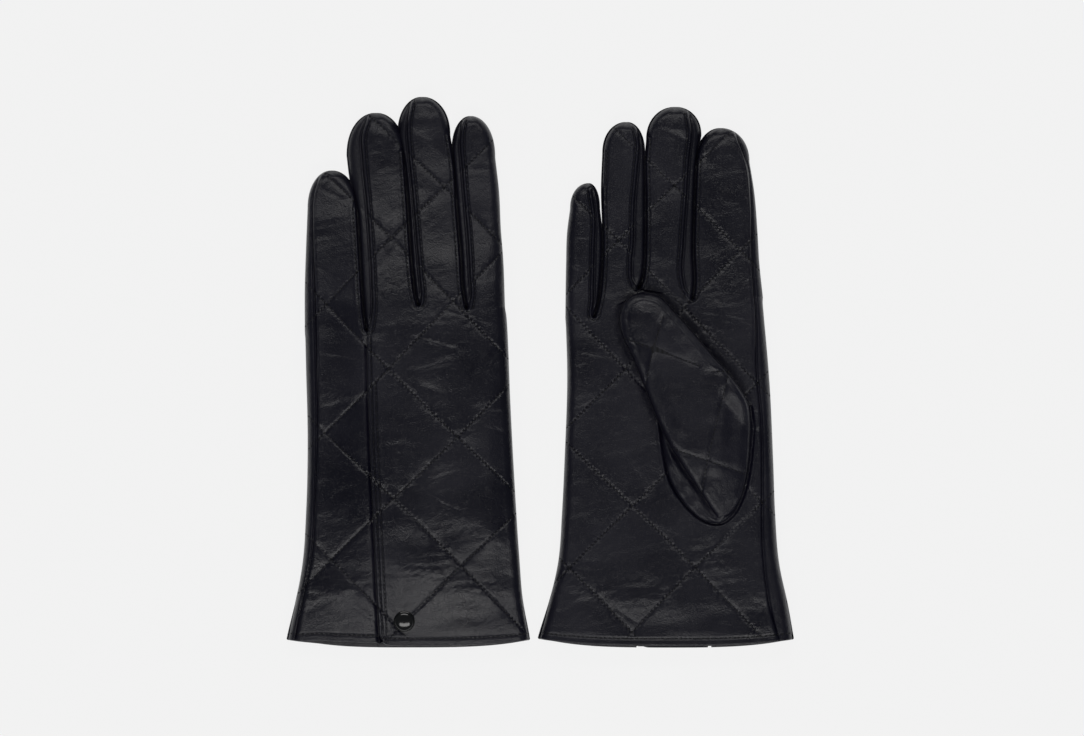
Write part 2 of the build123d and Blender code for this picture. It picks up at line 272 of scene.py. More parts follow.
@dataclass(frozen=True)
class GlovePattern:
    """Everything that differs between the two gloves as they lie."""

    name: str
    face: Face
    left_edge: Points
    right_edge: Points
    forks: Points
    fork_hem_x: Points
    edge_seam: Points
    fingers: tuple[FingerPattern, ...]
    quilt_falling: tuple[float, ...]
    quilt_rising: tuple[float, ...]
    vent: Points = field(
        default_factory=lambda: [
            (-13.2, 0), (-14.6, 27), (-16.2, 61), (-17.6, 94), (-18.4, 118), (-18.9, 141.3),
        ]
    )
    vent_closed_y: float = 118.0
    vent_corner: float = 5.0
    flap_top: float = 50.0
    flap_width: float = 31.5
    hem_shift: float = 0.4
    hem_bow: float = 2.6
    hem_reach: float = 56.0
    hem_fade: float = 30.0
    hem_peek: float = 1.1
    peek_reach: float = 54.0
    peek_fade: float = 26.0
    side_rise: float = 1.3
    swells: tuple[tuple[float, float, float, float, float], ...] = ()

    @property
    def strip_side(self) -> int:
        """0 if the fourchettes show on the left of the fingers, 1 if on the right."""
        return 0 if self.face is Face.BACK_UP else 1

    @property
    def outer_strip_finger(self) -> int:
        """Number of the finger whose strip lies on the glove's outline."""
        return 0 if self.strip_side == 0 else 3

    @property
    def middle_x(self) -> float:
        """Middle of the glove's cuff across the pair, from the frame."""
        low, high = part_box(f"{self.name}_cuff_hem")
        return (low.x + high.x) / 2 / MM

    @property
    def hem_y(self) -> float:
        """Hem line along the pair, from the frame."""
        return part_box(f"{self.name}_cuff_hem")[0].y / MM

    def hem_line(self, x: np.ndarray) -> np.ndarray:
        """y of the bowed hem at each x, a little higher on the side panel beside the flap.

        Args:
            x: positions across.

        Returns:
            y of the hem.
        """
        side = 0.0
        if self.face is Face.BACK_UP:
            side = self.side_rise * smooth((self.vent_line(0.0) - x) / 1.5)
        return self.hem_shift + self.bow(x) + side * smooth((x + 52) / 14)

    def bow(self, x: np.ndarray) -> np.ndarray:
        """How far the hem rises towards the sides."""
        return self.hem_bow * np.abs(x / self.hem_reach) ** 3

    def hem_share(self, y: np.ndarray) -> np.ndarray:
        """How much of the hem's bow the rows at each y still follow."""
        return 1 - smooth(y / self.hem_fade)

    def hem_drop(self, x: np.ndarray, y: np.ndarray) -> np.ndarray:
        """How far the layer underneath peeks out below the hem of the layer on top.

        Args:
            x: positions across.
            y: positions along.

        Returns:
            Distances towards the hem.
        """
        peek = self.hem_peek + self.hem_line(x) - self.hem_shift - self.bow(x)
        across = 1 - np.clip(np.abs(x / self.peek_reach), 0, 1) ** 4
        return peek * across * (1 - smooth(y / self.peek_fade))

    def vent_line(self, y: np.ndarray | float) -> np.ndarray:
        """x of the vent's edge at each y."""
        return SmoothCurve(self.vent)(y)

    def split_line(self, x: np.ndarray) -> np.ndarray:
        """y of the line through the forks, where the fingers' leather meets the hand's."""
        first, last = self.fingers[0].left[0], self.fingers[-1].right[0]
        ends = [first, *self.forks, last]
        return np.interp(x, [p[0] for p in ends], [p[1] for p in ends])

    def edge_line(self, number: int, side: int, below: float = 40.0) -> np.ndarray:
        """One edge of a finger up to its tip, with the hand's edge below an outer one.

        Args:
            number: which finger, from the pinky.
            side: 0 for left, 1 for right.
            below: length of hand edge to add.

        Returns:
            Corners of the line, from low to high.
        """
        finger = self.fingers[number]
        start, shoulder = (finger.left, finger.right)[side][0][1], finger.shoulder(side)[1]
        ys = np.linspace(start, shoulder, 28)
        rise = np.sin(np.linspace(0, math.pi / 2, 14))[1:] * (finger.tip[1] - shoulder)
        ys = np.concatenate([ys, shoulder + rise])
        line = np.stack([finger.edge(side, ys), ys], axis=1)
        if (number, side) in ((0, 0), (3, 1)):
            low = np.linspace(start - below, start - 2, 12)
            edge = SmoothCurve(self.left_edge if side == 0 else self.right_edge)
            line = np.concatenate([np.stack([edge(low), low], axis=1), line])
        return line

    def slit(self, number: int) -> np.ndarray:
        """Edge of the leather round one slit: down the left of it, round the fork and up the right.

        Args:
            number: which fork, from the pinky.

        Returns:
            Corners of the line.
        """
        left, right = self.fingers[number], self.fingers[number + 1]
        if self.strip_side == 0:
            down, up = left.right, right.seam
        else:
            down, up = left.seam, right.left
        down_curve, up_curve = SmoothCurve(down), SmoothCurve(up)
        fork = self.forks[number]
        high = np.linspace(fork[1] + 2.4, down[-1][1], 30)[::-1]
        low = np.linspace(fork[1] + 2.4, up[-1][1], 30)
        a = np.stack([down_curve(high), high], axis=1)
        b = np.stack([up_curve(low), low], axis=1)
        turn = np.linspace(0, math.pi, 9)[1:-1, None]
        middle, half = (a[-1] + b[0]) / 2, (b[0] - a[-1]) / 2
        drop = np.array([0.0, -2.2])
        return np.concatenate([a, middle - half * np.cos(turn) + drop * np.sin(turn), b])

    def finger_at(self, x: np.ndarray, y: np.ndarray) -> np.ndarray:
        """Number of the finger over each point, or -1 on the hand."""
        number = np.zeros(np.shape(x), int)
        for k in range(3):
            number += x > self.fingers[k].edge(1, y)
        return np.where(y > self.split_line(x), number, -1)


LEFT_GLOVE = GlovePattern(
    name="left",
    face=Face.BACK_UP,
    left_edge=[(-54.5, 2.5), (-51, 19), (-47.8, 37), (-46.2, 60), (-45.5, 91), (-46.3, 127), (-46.8, 150)],
    right_edge=[(54, 2.5), (51.3, 19), (49.6, 40), (47.5, 73), (45.6, 109), (44.2, 143), (43.2, 157)],
    forks=[(-18.9, 141.3), (4.2, 152.8), (25.9, 151.3)],
    fork_hem_x=[(-13.3, 0), (17, 0), (37, 0)],
    edge_seam=[
        (-50.6, 3), (-47.7, 19), (-43.4, 40), (-41.8, 69), (-41, 100), (-41.9, 145), (-42.4, 163),
        (-43.1, 190),
    ],
    fingers=(
        FingerPattern(
            "pinky",
            [(-46.8, 142), (-46.8, 161), (-46.4, 175), (-45.6, 196)],
            [(-19, 141.3), (-19.9, 146), (-20.8, 155), (-21.7, 169), (-22.4, 181), (-23.3, 196)],
            (-34.9, 213.3),
            [(-41.9, 145), (-42.4, 163), (-43.1, 190), (-42.6, 203), (-40, 211)],
        ),
        FingerPattern(
            "ring",
            [
                (-18.8, 141.3), (-19.7, 146), (-20.6, 155), (-21.5, 169), (-22.2, 181), (-23.4, 196),
                (-26.4, 209), (-27.8, 220),
            ],
            [(4.1, 152.8), (3.3, 155.3), (1.8, 165), (0.5, 181), (-0.9, 202), (-2.3, 221)],
            (-14.9, 239.2),
            [
                (-17.6, 142.6), (-16.7, 147), (-16.7, 165), (-17.6, 181), (-18.9, 198), (-20.7, 218),
                (-20.9, 230), (-19, 236),
            ],
        ),
        FingerPattern(
            "middle",
            [(4.3, 152.8), (3.5, 155.3), (2, 165), (0.7, 181), (-0.7, 202), (-2.4, 218), (-5, 229)],
            [(25.8, 151.3), (24.3, 159), (23.4, 173), (21.7, 194), (20.2, 217), (18.3, 229)],
            (5.9, 246.4),
            [(5.3, 153.6), (5.6, 158), (5, 165), (3.6, 181), (1.8, 202), (0, 220), (-0.8, 234), (0.8, 244)],
        ),
        FingerPattern(
            "index",
            [(26, 151.3), (24.5, 159), (23.6, 173), (21.9, 194), (20.5, 210), (19.4, 222)],
            [(43.2, 152.3), (42.3, 175), (41.4, 186), (40.5, 204), (38.8, 219)],
            (27.8, 237.8),
            [
                (27, 152), (27.9, 157), (27.5, 165), (26.6, 181), (25.2, 198), (23.9, 214), (23, 228),
                (24, 236),
            ],
        ),
    ),
    quilt_falling=(2.7, 58.5, 115.7, 174.2, 221.0),
    quilt_rising=(11.3, 72.5, 133.7, 189.9),
    swells=(
        (6, 34, 1.5, 15, 9),
        (-32, 25, 0.9, 14, 8),
        (34, 24, 1.0, 16, 7),
        (42, 48, 0.7, 9, 9),
        (14, 144, 0.9, 16, 8),
        (-9, 128, 0.5, 9, 16),
        (8, 236, 0.5, 6, 5),
        (-14, 229, 0.5, 6, 5),
        (28, 229, 0.5, 6, 5),
    ),
)

RIGHT_GLOVE = GlovePattern(
    name="right",
    face=Face.PALM_UP,
    left_edge=[
        (-57.6, 2.5), (-53.2, 19), (-49.2, 37), (-47.4, 60), (-46.2, 85), (-45.1, 118), (-45.9, 152),
    ],
    right_edge=[(56.4, 2.5), (53.8, 19), (50.2, 37), (48.4, 60), (47.6, 82), (45.9, 118), (42.9, 153)],
    forks=[(-33, 147.5), (-12.9, 160.2), (11.4, 155.7)],
    fork_hem_x=[(-39, 0), (-13, 0), (14, 0)],
    edge_seam=[
        (49.3, 3), (46.6, 13), (44.1, 27), (42.5, 44), (42.2, 70), (41.9, 100), (39.7, 124), (39.6, 145),
        (38.7, 161),
    ],
    fingers=(
        FingerPattern(
            "pinky",
            [(-45.9, 148), (-45.6, 171), (-45.1, 186), (-43.8, 196)],
            [(-33, 147.5), (-31.2, 154), (-29.7, 168), (-29.4, 185), (-30.6, 196)],
            (-35.6, 207.6),
            [(-34.2, 148.6), (-33.4, 153), (-33.2, 161), (-32.9, 177), (-32.6, 194), (-34, 204)],
        ),
        FingerPattern(
            "ring",
            [(-32.8, 147.5), (-31, 154), (-29.4, 168), (-29.1, 185), (-29.6, 205), (-29, 221)],
            [(-13, 160.2), (-11.7, 163), (-10.5, 170), (-10.1, 181), (-10.1, 202), (-10.3, 221)],
            (-18.4, 235.1),
            [
                (-13.9, 160.9), (-15.6, 163.5), (-16.2, 169), (-15.3, 181), (-14.9, 198), (-13.5, 214),
                (-12.7, 226), (-14, 233),
            ],
        ),
        FingerPattern(
            "middle",
            [(-12.8, 160.2), (-11.5, 163), (-10.3, 170), (-9.9, 181), (-9.8, 202), (-10, 218), (-9.3, 227)],
            [(11.3, 155.7), (12, 161), (11.6, 177), (12.1, 199), (13.2, 218), (15, 229)],
            (3.5, 241.9),
            [
                (10.2, 156.6), (8.2, 159.5), (6.8, 165), (7.2, 181), (8.6, 202), (9.6, 218), (10.8, 231),
                (9.6, 239),
            ],
        ),
        FingerPattern(
            "index",
            [(11.5, 155.7), (12.2, 161), (11.8, 177), (12.3, 199), (13, 217)],
            [(42.9, 156.7), (41.4, 171), (40.5, 186), (39, 204), (36.9, 217)],
            (24, 232.4),
            [(38.7, 158), (38.2, 166), (37.8, 177), (37.4, 200), (35.6, 216), (31.5, 227)],
        ),
    ),
    quilt_falling=(-10.4, 46.4, 105.8, 158.9, 209.2),
    quilt_rising=(21.6, 77.9, 143.6, 203.0),
    swells=(
        (18, 38, 1.2, 16, 9),
        (-36, 30, 1.1, 12, 9),
        (40, 24, 0.8, 9, 8),
        (-8, 22, 0.8, 14, 7),
        (24, 148, 0.9, 10, 8),
        (-6, 168, 0.6, 10, 7),
        (4, 232, 0.5, 7, 5),
        (24, 223, 0.5, 8, 5),
        (-18, 226, 0.5, 6, 5),
    ),
)


# ---------------------------------------------------------------------------------------------
# Relief: heights of a glove's outer and inner skins
# ---------------------------------------------------------------------------------------------


@dataclass
class Relief:
    """Heights of a lying glove over its outline, with its folds, quilting and seams."""

    pattern: GlovePattern
    thumb: "ThumbPattern"
    hand_depth: float = 10.4
    finger_depth: float = 8.8
    hem_depth: float = 9.4
    outline_radius: float = 4.6
    strip_radius: float = 1.7
    crisp_radius: float = 1.9
    drape_end: float = 52.0
    quilt_depth: float = 0.62
    pucker_depth: float = 0.2
    billow: float = 0.3
    crease: float = 0.24
    stitch_pitch: float = 2.0
    thumb_gap: float = 0.3
    floor_gap: float = 0.02
    hem_row: float = 2.5
    rim_row: float = 1.8
    vent_rows: tuple[float, float] = (1.7, 3.6)
    vent_raise: float = 1.05
    vent_crisp: float = 0.8
    lift: float = field(init=False)
    hem_lift: float = field(init=False)

    def __post_init__(self) -> None:
        """Reads how high the glove lies from the frame."""
        name = self.pattern.name
        if self.pattern.face is Face.BACK_UP:
            self.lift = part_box(f"{name}_thumb_back")[1].z / MM + self.thumb_gap
            self.hem_lift = 0.0
        else:
            self.lift = 0.0
            self.hem_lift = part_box(f"{name}_cuff_hem")[1].z / MM - self.hand_depth

    def is_back(self, top: bool) -> bool:
        """True where this side of the glove is the back of the hand."""
        return top == (self.pattern.face is Face.BACK_UP)

    def rest_height(self, x: np.ndarray, y: np.ndarray) -> np.ndarray:
        """Height of the underside: over the thumb on the left-hand glove, over the cap on the other.

        Args:
            x: positions across.
            y: positions along.

        Returns:
            Heights above the floor.
        """
        if self.pattern.face is Face.PALM_UP:
            ramp = self.hem_lift * (1 - y / self.drape_end)
            return np.maximum(0.5 * (ramp + np.sqrt(ramp**2 + 0.3)), self.floor_gap)
        rise = self.lift * y / self.drape_end
        soft = 0.7
        level = -soft * np.logaddexp(-rise / soft, -self.lift / soft)
        sag = 1.0 - 0.5 * smooth((-x - 14) / 26) - 0.28 * smooth((x - 34) / 12)
        reach = 1.0 - smooth((y - 150) / 78)
        return np.maximum(level * sag * reach, self.floor_gap)

    def depth(self, y: np.ndarray) -> np.ndarray:
        """Full thickness of the glove along its length."""
        cuff = self.hem_depth + (self.hand_depth - self.hem_depth) * smooth((y - 2) / 22)
        return cuff + (self.finger_depth - self.hand_depth) * smooth((y - 130) / 50)

    def quilting(self, x: np.ndarray, y: np.ndarray) -> np.ndarray:
        """Sunk stitch lines with puckers, and the soft billow between them.

        Args:
            x: positions across.
            y: positions along.

        Returns:
            Heights to add, below zero on the lines.
        """
        nearest = np.full(x.shape, 99.0)
        relief = np.zeros(x.shape)
        for across, along, offsets, seed in (
            (x + y, y - x, self.pattern.quilt_falling, FALLING_SEED),
            (y - x, x + y, self.pattern.quilt_rising, RISING_SEED),
        ):
            for number, offset in enumerate(offsets):
                s = (across - offset - quilt_wander(along, seed + number)) / math.sqrt(2)
                nearest = np.minimum(nearest, np.abs(s))
                strength = 0.65 + 0.35 * ripple(x, y, 38, seed + 90 + number)
                hole = 0.5 + 0.5 * np.cos(2 * math.pi * along / math.sqrt(2) / self.stitch_pitch)
                relief -= self.quilt_depth * (0.35 + 0.65 * hole) * bump(s, 0.5)
                relief -= self.pucker_depth * strength * bump(s, 2.0)
                gather = np.sin(along / 1.35 + 2.6 * ripple(x, y, 11, seed + number))
                relief += 0.09 * gather * strength * bump(np.abs(s) - 0.9, 0.9)
        swell = np.zeros(x.shape)
        for middle_x, middle_y, rise, wide, long in self.pattern.swells:
            swell += rise * np.exp(-(((x - middle_x) / wide) ** 2) - ((y - middle_y) / long) ** 2)
        rough = 0.1 * ripple(x, y, 4.2, 811, 2.2) + 0.05 * ripple(x, y, 2.4, 812, 1.4)
        return relief + self.billow * (1 - bump(nearest, 13.0)) + swell * (1.15 + rough)

    def wrinkles(self, x: np.ndarray, y: np.ndarray, seed: int) -> np.ndarray:
        """Slack and creases of soft leather.

        Args:
            x: positions across.
            y: positions along.
            seed: seed of this skin.

        Returns:
            Heights to add.
        """
        slack = 0.5 * ripple(x, y, 46, seed) + 0.2 * ripple(x, y, 17, seed + 1, 1.6)
        fold = ripple(x, y, 21, seed + 2, 2.2)
        line = -self.crease * bump(fold, 0.16) * smooth(0.3 + ripple(x, y, 40, seed + 3))
        drag = 0.1 * ripple(x, y, 6.5, seed + 5, 1.8) * smooth(0.2 + ripple(x, y, 33, seed + 6))
        return slack + line + drag + 0.03 * ripple(x, y, 3.2, seed + 4)

    def fullness(self, x: np.ndarray, y: np.ndarray, finger: int, inset: float) -> np.ndarray:
        """Share of the full thickness, rounded at the outline and along the slits.

        Args:
            x: positions across.
            y: positions along.
            finger: number of the finger that the points are on, or -1 for the hand.
            inset: depth of the skin below the outer leather.

        Returns:
            0 at an edge and 1 inside.
        """
        p, wide = self.pattern, self.outline_radius
        radii = (self.crisp_radius, self.strip_radius)
        if p.strip_side == 1:
            radii = radii[::-1]
        share = np.ones(np.shape(x))
        if finger < 0:
            share = dome(x - SmoothCurve(p.left_edge)(y) - inset, wide)
            share = share * dome(SmoothCurve(p.right_edge)(y) - x - inset, wide)
            for k, (fork_x, _) in enumerate(p.forks):
                side = smooth((x - fork_x + 1.5) / 3)
                radius = radii[0] + (radii[1] - radii[0]) * side
                gap = distance_to(x, y, p.edge_line(k, 1)[:14])
                share = share * dome(np.maximum(gap - inset, 0), radius)
            return share
        for side in (0, 1):
            outer = (finger, side) in ((0, 0), (3, 1))
            radius = wide if outer else radii[1 - side]
            end = p.fingers[finger].shoulder(side)[1]
            if not outer:
                end = min(end, p.fingers[finger + (1 if side else -1)].shoulder(1 - side)[1])
            radius = radius + (wide - 0.6 - radius) * smooth((y - end - 1) / 12)
            gap = distance_to(x, y, p.edge_line(finger, side, 60.0))
            share = share * dome(np.maximum(gap - inset, 0), radius)
        return share

    def seam(self, x: np.ndarray, y: np.ndarray, seam_x: np.ndarray, from_y: float) -> np.ndarray:
        """Groove of a seam with the strip beside it sunk below the panel.

        Args:
            x: positions across.
            y: positions along.
            seam_x: x of the seam at each y.
            from_y: where the strip begins.

        Returns:
            Heights to add.
        """
        s = (x - seam_x) if self.pattern.strip_side == 0 else (seam_x - x)
        start = smooth((y - from_y) / 5)
        groove = -1.0 * bump(s + 0.3, 0.42)
        strip = -0.5 * smooth((-s + 0.1) / 0.9) * smooth((s + 9) / 4) * (from_y > 0)
        return start * (groove + strip)

    def slit_rim(self, x: np.ndarray, y: np.ndarray, near: list[int]) -> np.ndarray:
        """Thick turned edge with its sunk stitch row round the slits.

        Args:
            x: positions across.
            y: positions along.
            near: numbers of the slits to look at.

        Returns:
            Heights to add on the panel side.
        """
        relief = np.zeros(np.shape(x))
        for k in near:
            gap = distance_to(x, y, self.pattern.slit(k))
            relief += 0.45 * bump(gap - 0.8, 0.55) - 0.4 * bump(gap - self.rim_row, 0.36)
            relief += 0.12 * bump(gap - 2.7, 0.5)
        return relief

    def lap(self, s: np.ndarray) -> np.ndarray:
        """Rise of the back panel at a distance s in from the vent's edge."""
        return self.vent_raise * (1 - smooth((s - 3) / 9)) * dome(s + self.floor_gap, self.vent_crisp)

    def vent_relief(self, x: np.ndarray, y: np.ndarray) -> np.ndarray:
        """Lap of the back panel over the side panel, with its stitch rows.

        Args:
            x: positions across.
            y: positions along.

        Returns:
            Heights to add on the back of the glove.
        """
        s = x - self.pattern.vent_line(y)
        fade = 1 - smooth((y - 134) / 7)
        lap = (s >= -1e-6) * self.lap(np.maximum(s, 0))
        sunk = -1.0 * (s < 0) * bump(s, 1.1)
        open_part = 1 - smooth((y - self.pattern.vent_closed_y) / 4)
        first, second = self.vent_rows
        rows = -0.38 * bump(s - first, 0.34) - 0.38 * open_part * bump(s - second, 0.34)
        return fade * (lap + sunk + rows)

    def height(
        self,
        x: np.ndarray,
        y: np.ndarray,
        finger: int,
        top: bool,
        inset: float = 0.0,
        groove_x: Sequence[np.ndarray] = (),
    ) -> np.ndarray:
        """Height of one skin at points on the hand or on one finger.

        Args:
            x: positions across.
            y: positions along.
            finger: number of the finger, from the pinky, or -1 for the hand.
            top: True for the side that looks up.
            inset: depth of the skin below the outer leather.
            groove_x: x of seams that only this side has.

        Returns:
            Heights above the floor.
        """
        p = self.pattern
        depth = self.depth(y)
        share = self.fullness(x, y, finger, inset)
        middle = self.rest_height(x, y) + depth / 2
        half = (depth / 2 - inset) * share
        if inset > 0.0:
            return middle + half if top else np.maximum(middle - half, self.floor_gap)
        fade = np.sqrt(share)
        near_hem = smooth((y - 3.4) / 3)
        relief = fade * self.quilting(x, y) * near_hem
        relief = relief + fade * self.wrinkles(x, y, 5 if top else 71) * smooth((y - 2) / 12)
        relief = relief - 0.4 * bump(y - p.hem_line(x) - self.hem_row, 0.42) * fade
        if top:
            seam_points = p.edge_seam if finger < 0 else p.fingers[finger].seam
            seam_x = SmoothCurve(seam_points)(y)
            outer = finger < 0 or finger == p.outer_strip_finger
            from_y = ALWAYS if outer else seam_points[0][1]
            s = (x - seam_x) if p.strip_side == 0 else (seam_x - x)
            panel = smooth((s + 0.4) / 0.8) if finger >= 0 else 1.0
            near = [0, 1, 2] if finger < 0 else [k for k in (finger - 1, finger) if 0 <= k <= 2]
            relief = relief * (0.25 + 0.75 * smooth((s + 0.4) / 0.8))
            relief = relief + panel * self.slit_rim(x, y, near) * smooth(share * 1.6)
            relief = relief + share * self.seam(x, y, seam_x, from_y)
            if outer:
                relief = relief + share * 0.4 * bump(s - 0.8, 0.5)
        for line in groove_x:
            relief = relief - 0.7 * share * bump(x - line, 0.5)
        if self.is_back(top) and finger < 0:
            relief = relief + self.vent_relief(x, y)
        if not self.is_back(top) and finger < 0:
            relief = relief + self.thumb.palm_relief(x, y, relief)
        if top:
            return middle + half + relief
        return np.maximum(middle - half - relief, 0.0)


def quilt_wander(along: np.ndarray, seed: int) -> np.ndarray:
    """How far a hand-guided quilting line strays from straight."""
    return 0.9 * np.sin(along / 37.0 + seed)


# ---------------------------------------------------------------------------------------------
# Meshes
# ---------------------------------------------------------------------------------------------


def quads(rows: int, columns: int) -> np.ndarray:
    """Corner numbers of the faces of a grid."""
    index = np.arange(rows * columns).reshape(rows, columns)
    corners = [index[:-1, :-1], index[:-1, 1:], index[1:, 1:], index[1:, :-1]]
    return np.stack(corners, axis=-1).reshape(-1, 4)


class MeshMaker:
    """Writes meshes in the row frame for one glove."""

    def __init__(self, pattern: GlovePattern) -> None:
        """Keeps where the glove lies."""
        self.origin = np.array([pattern.middle_x, pattern.hem_y - pattern.hem_shift, 0.0])

    def place(self, x: float, y: float, z: float) -> Vector:
        """A point of the glove's frame in the row frame, in metres."""
        return Vector((np.array([x, y, z]) + self.origin) * MM)

    def raw(
        self, name: str, points: np.ndarray, faces: np.ndarray, material: bpy.types.Material
    ) -> bpy.types.Object:
        """A smooth piece from points and faces, with faces of no size left out.

        Args:
            name: the piece's name.
            points: xyz in the glove's frame.
            faces: corner numbers of each face.
            material: its finish.

        Returns:
            The new object.
        """
        merged, where = np.unique(points.round(5), axis=0, return_inverse=True)
        corners = where.reshape(-1)[faces]
        loops = [list(dict.fromkeys(face)) for face in corners.tolist()]
        mesh = bpy.data.meshes.new(name)
        whole = [loop for loop in loops if len(loop) > 2]
        mesh.from_pydata(((merged + self.origin) * MM).tolist(), [], whole)
        mesh.materials.append(material)
        mesh.polygons.foreach_set("use_smooth", [True] * len(mesh.polygons))
        mesh.validate()
        obj = bpy.data.objects.new(name, mesh)
        bpy.context.scene.collection.objects.link(obj)
        return obj

    def grids(self, name: str, pieces: list[np.ndarray], material: bpy.types.Material) -> bpy.types.Object:
        """One smooth piece from several grids, joined where their edges meet.

        Args:
            name: the piece's name.
            pieces: grids of rows, columns, xyz.
            material: its finish.

        Returns:
            The new object.
        """
        points, faces, offset = [], [], 0
        for grid in pieces:
            rows, columns = grid.shape[:2]
            points.append(grid.reshape(-1, 3))
            faces.append(quads(rows, columns) + offset)
            offset += rows * columns
        return self.raw(name, np.concatenate(points), np.concatenate(faces), material)


def cosine(n: int) -> np.ndarray:
    """n + 1 positions from 0 to 1, close together at both ends."""
    return (1 - np.cos(np.pi * np.arange(n + 1) / n)) / 2


def resample(line: np.ndarray, shares: np.ndarray) -> np.ndarray:
    """Points of a polyline at shares of its length.

    Args:
        line: corners, one row each.
        shares: values from 0 to 1.

    Returns:
        One row per share.
    """
    s = np.concatenate([[0], np.cumsum(np.linalg.norm(np.diff(line, axis=0), axis=1))])
    return np.stack([np.interp(shares * s[-1], s, line[:, k]) for k in range(line.shape[1])], axis=1)


def offset_line(line: np.ndarray, distance: float) -> np.ndarray:
    """A polyline moved sideways to the right of its direction.

    Args:
        line: corners, one row each.
        distance: how far to move it.

    Returns:
        The moved corners.
    """
    t = np.gradient(line, axis=0)
    t /= np.linalg.norm(t, axis=1, keepdims=True) + 1e-9
    return line + distance * np.stack([t[:, 1], -t[:, 0]], axis=1)


# ---------------------------------------------------------------------------------------------
# Materials
# ---------------------------------------------------------------------------------------------


class NodeTree:
    """Short way to add and join shader nodes."""

    def __init__(self, name: str) -> None:
        """Starts a material with a principled shader."""
        self.material = bpy.data.materials.new(name)
        self.material.use_nodes = True
        self.tree = self.material.node_tree
        self.shader = self.tree.nodes["Principled BSDF"]

    def add(self, kind: str, **settings: object) -> bpy.types.Node:
        """Adds a node and sets its properties or input values by name.

        Args:
            kind: type of the node.
            settings: properties or input values.

        Returns:
            The node.
        """
        node = self.tree.nodes.new(kind)
        for key, value in settings.items():
            if hasattr(node, key):
                setattr(node, key, value)
            else:
                node.inputs[key.replace("_", " ")].default_value = value
        return node

    def join(self, start: bpy.types.NodeSocket, end: bpy.types.NodeSocket) -> None:
        """Links two sockets."""
        self.tree.links.new(start, end)

    def noise(self, scale: float, detail: float = 2.0, **settings: float) -> bpy.types.NodeSocket:
        """Noise over the piece at a scale per metre."""
        node = self.add("ShaderNodeTexNoise", Scale=scale, Detail=detail, **settings)
        self.join(self.space(), node.inputs["Vector"])
        return node.outputs["Fac"]

    def space(self) -> bpy.types.NodeSocket:
        """The piece's own coordinates."""
        node = self.tree.nodes.get("Texture Coordinate") or self.add("ShaderNodeTexCoord")
        return node.outputs["Object"]

    def relief(self, heights: list[tuple[bpy.types.NodeSocket, float, float]]) -> None:
        """Chains bumps into the shader's normal.

        Args:
            heights: height, strength and distance in metres of each bump.
        """
        last = None
        for height, strength, distance in heights:
            node = self.add("ShaderNodeBump", Strength=strength, Distance=distance)
            self.join(height, node.inputs["Height"])
            if last:
                self.join(last, node.inputs["Normal"])
            last = node.outputs["Normal"]
        self.join(last, self.shader.inputs["Normal"])

    def spread(self, factor: bpy.types.NodeSocket, low: float, high: float) -> bpy.types.NodeSocket:
        """Maps a factor of about 0.3 to 0.7 onto a range."""
        node = self.add("ShaderNodeMapRange")
        self.join(factor, node.inputs["Value"])
        for key, value in (("From Min", 0.3), ("From Max", 0.7), ("To Min", low), ("To Max", high)):
            node.inputs[key].default_value = value
        return node.outputs["Result"]

    def tone(
        self, factor: bpy.types.NodeSocket, low: tuple[float, ...], high: tuple[float, ...]
    ) -> bpy.types.NodeSocket:
        """Mixes two colours by a factor.

        Args:
            factor: share of the second colour, from 0 to 1.
            low: first colour.
            high: second colour.

        Returns:
            The mixed colour's socket.
        """
        node = self.add("ShaderNodeMix", data_type="RGBA")
        node.inputs[6].default_value = (*low, 1)
        node.inputs[7].default_value = (*high, 1)
        self.join(factor, node.inputs[0])
        return node.outputs[2]


@dataclass(frozen=True)
class Nappa:
    """Soft glove leather with fine grain, creases and a low broad sheen."""

    name: str
    dark: tuple[float, float, float]
    light: tuple[float, float, float]
    roughness: float = 0.3
    grain: float = 0.28

    def material(self) -> bpy.types.Material:
        """Builds the material."""
        t = NodeTree(self.name)
        cells = t.add("ShaderNodeTexVoronoi", feature="DISTANCE_TO_EDGE", Scale=1150.0)
        t.join(t.space(), cells.inputs["Vector"])
        edge = t.add("ShaderNodeMapRange")
        t.join(cells.outputs["Distance"], edge.inputs["Value"])
        edge.inputs["From Max"].default_value = 0.22
        pebble = t.noise(950.0, 3.0, Roughness=0.65)
        crease = t.noise(170.0, 4.0, Roughness=0.62, Distortion=0.7)
        pore = t.noise(2600.0, 1.0)
        t.relief(
            [
                (edge.outputs["Result"], self.grain, 0.00012),
                (pebble, self.grain, 0.00035),
                (crease, 0.2, 0.0012),
                (pore, 0.12, 0.00006),
            ]
        )
        mottle = t.noise(34.0, 3.0)
        cloud = t.spread(mottle, 0.0, 1.0)
        t.join(t.tone(cloud, self.dark, self.light), t.shader.inputs["Base Color"])
        t.join(t.spread(mottle, self.roughness - 0.06, self.roughness + 0.12), t.shader.inputs["Roughness"])
        t.shader.inputs["Specular IOR Level"].default_value = 0.5
        t.shader.inputs["Sheen Weight"].default_value = 0.012
        t.shader.inputs["Sheen Roughness"].default_value = 0.4
        return t.material


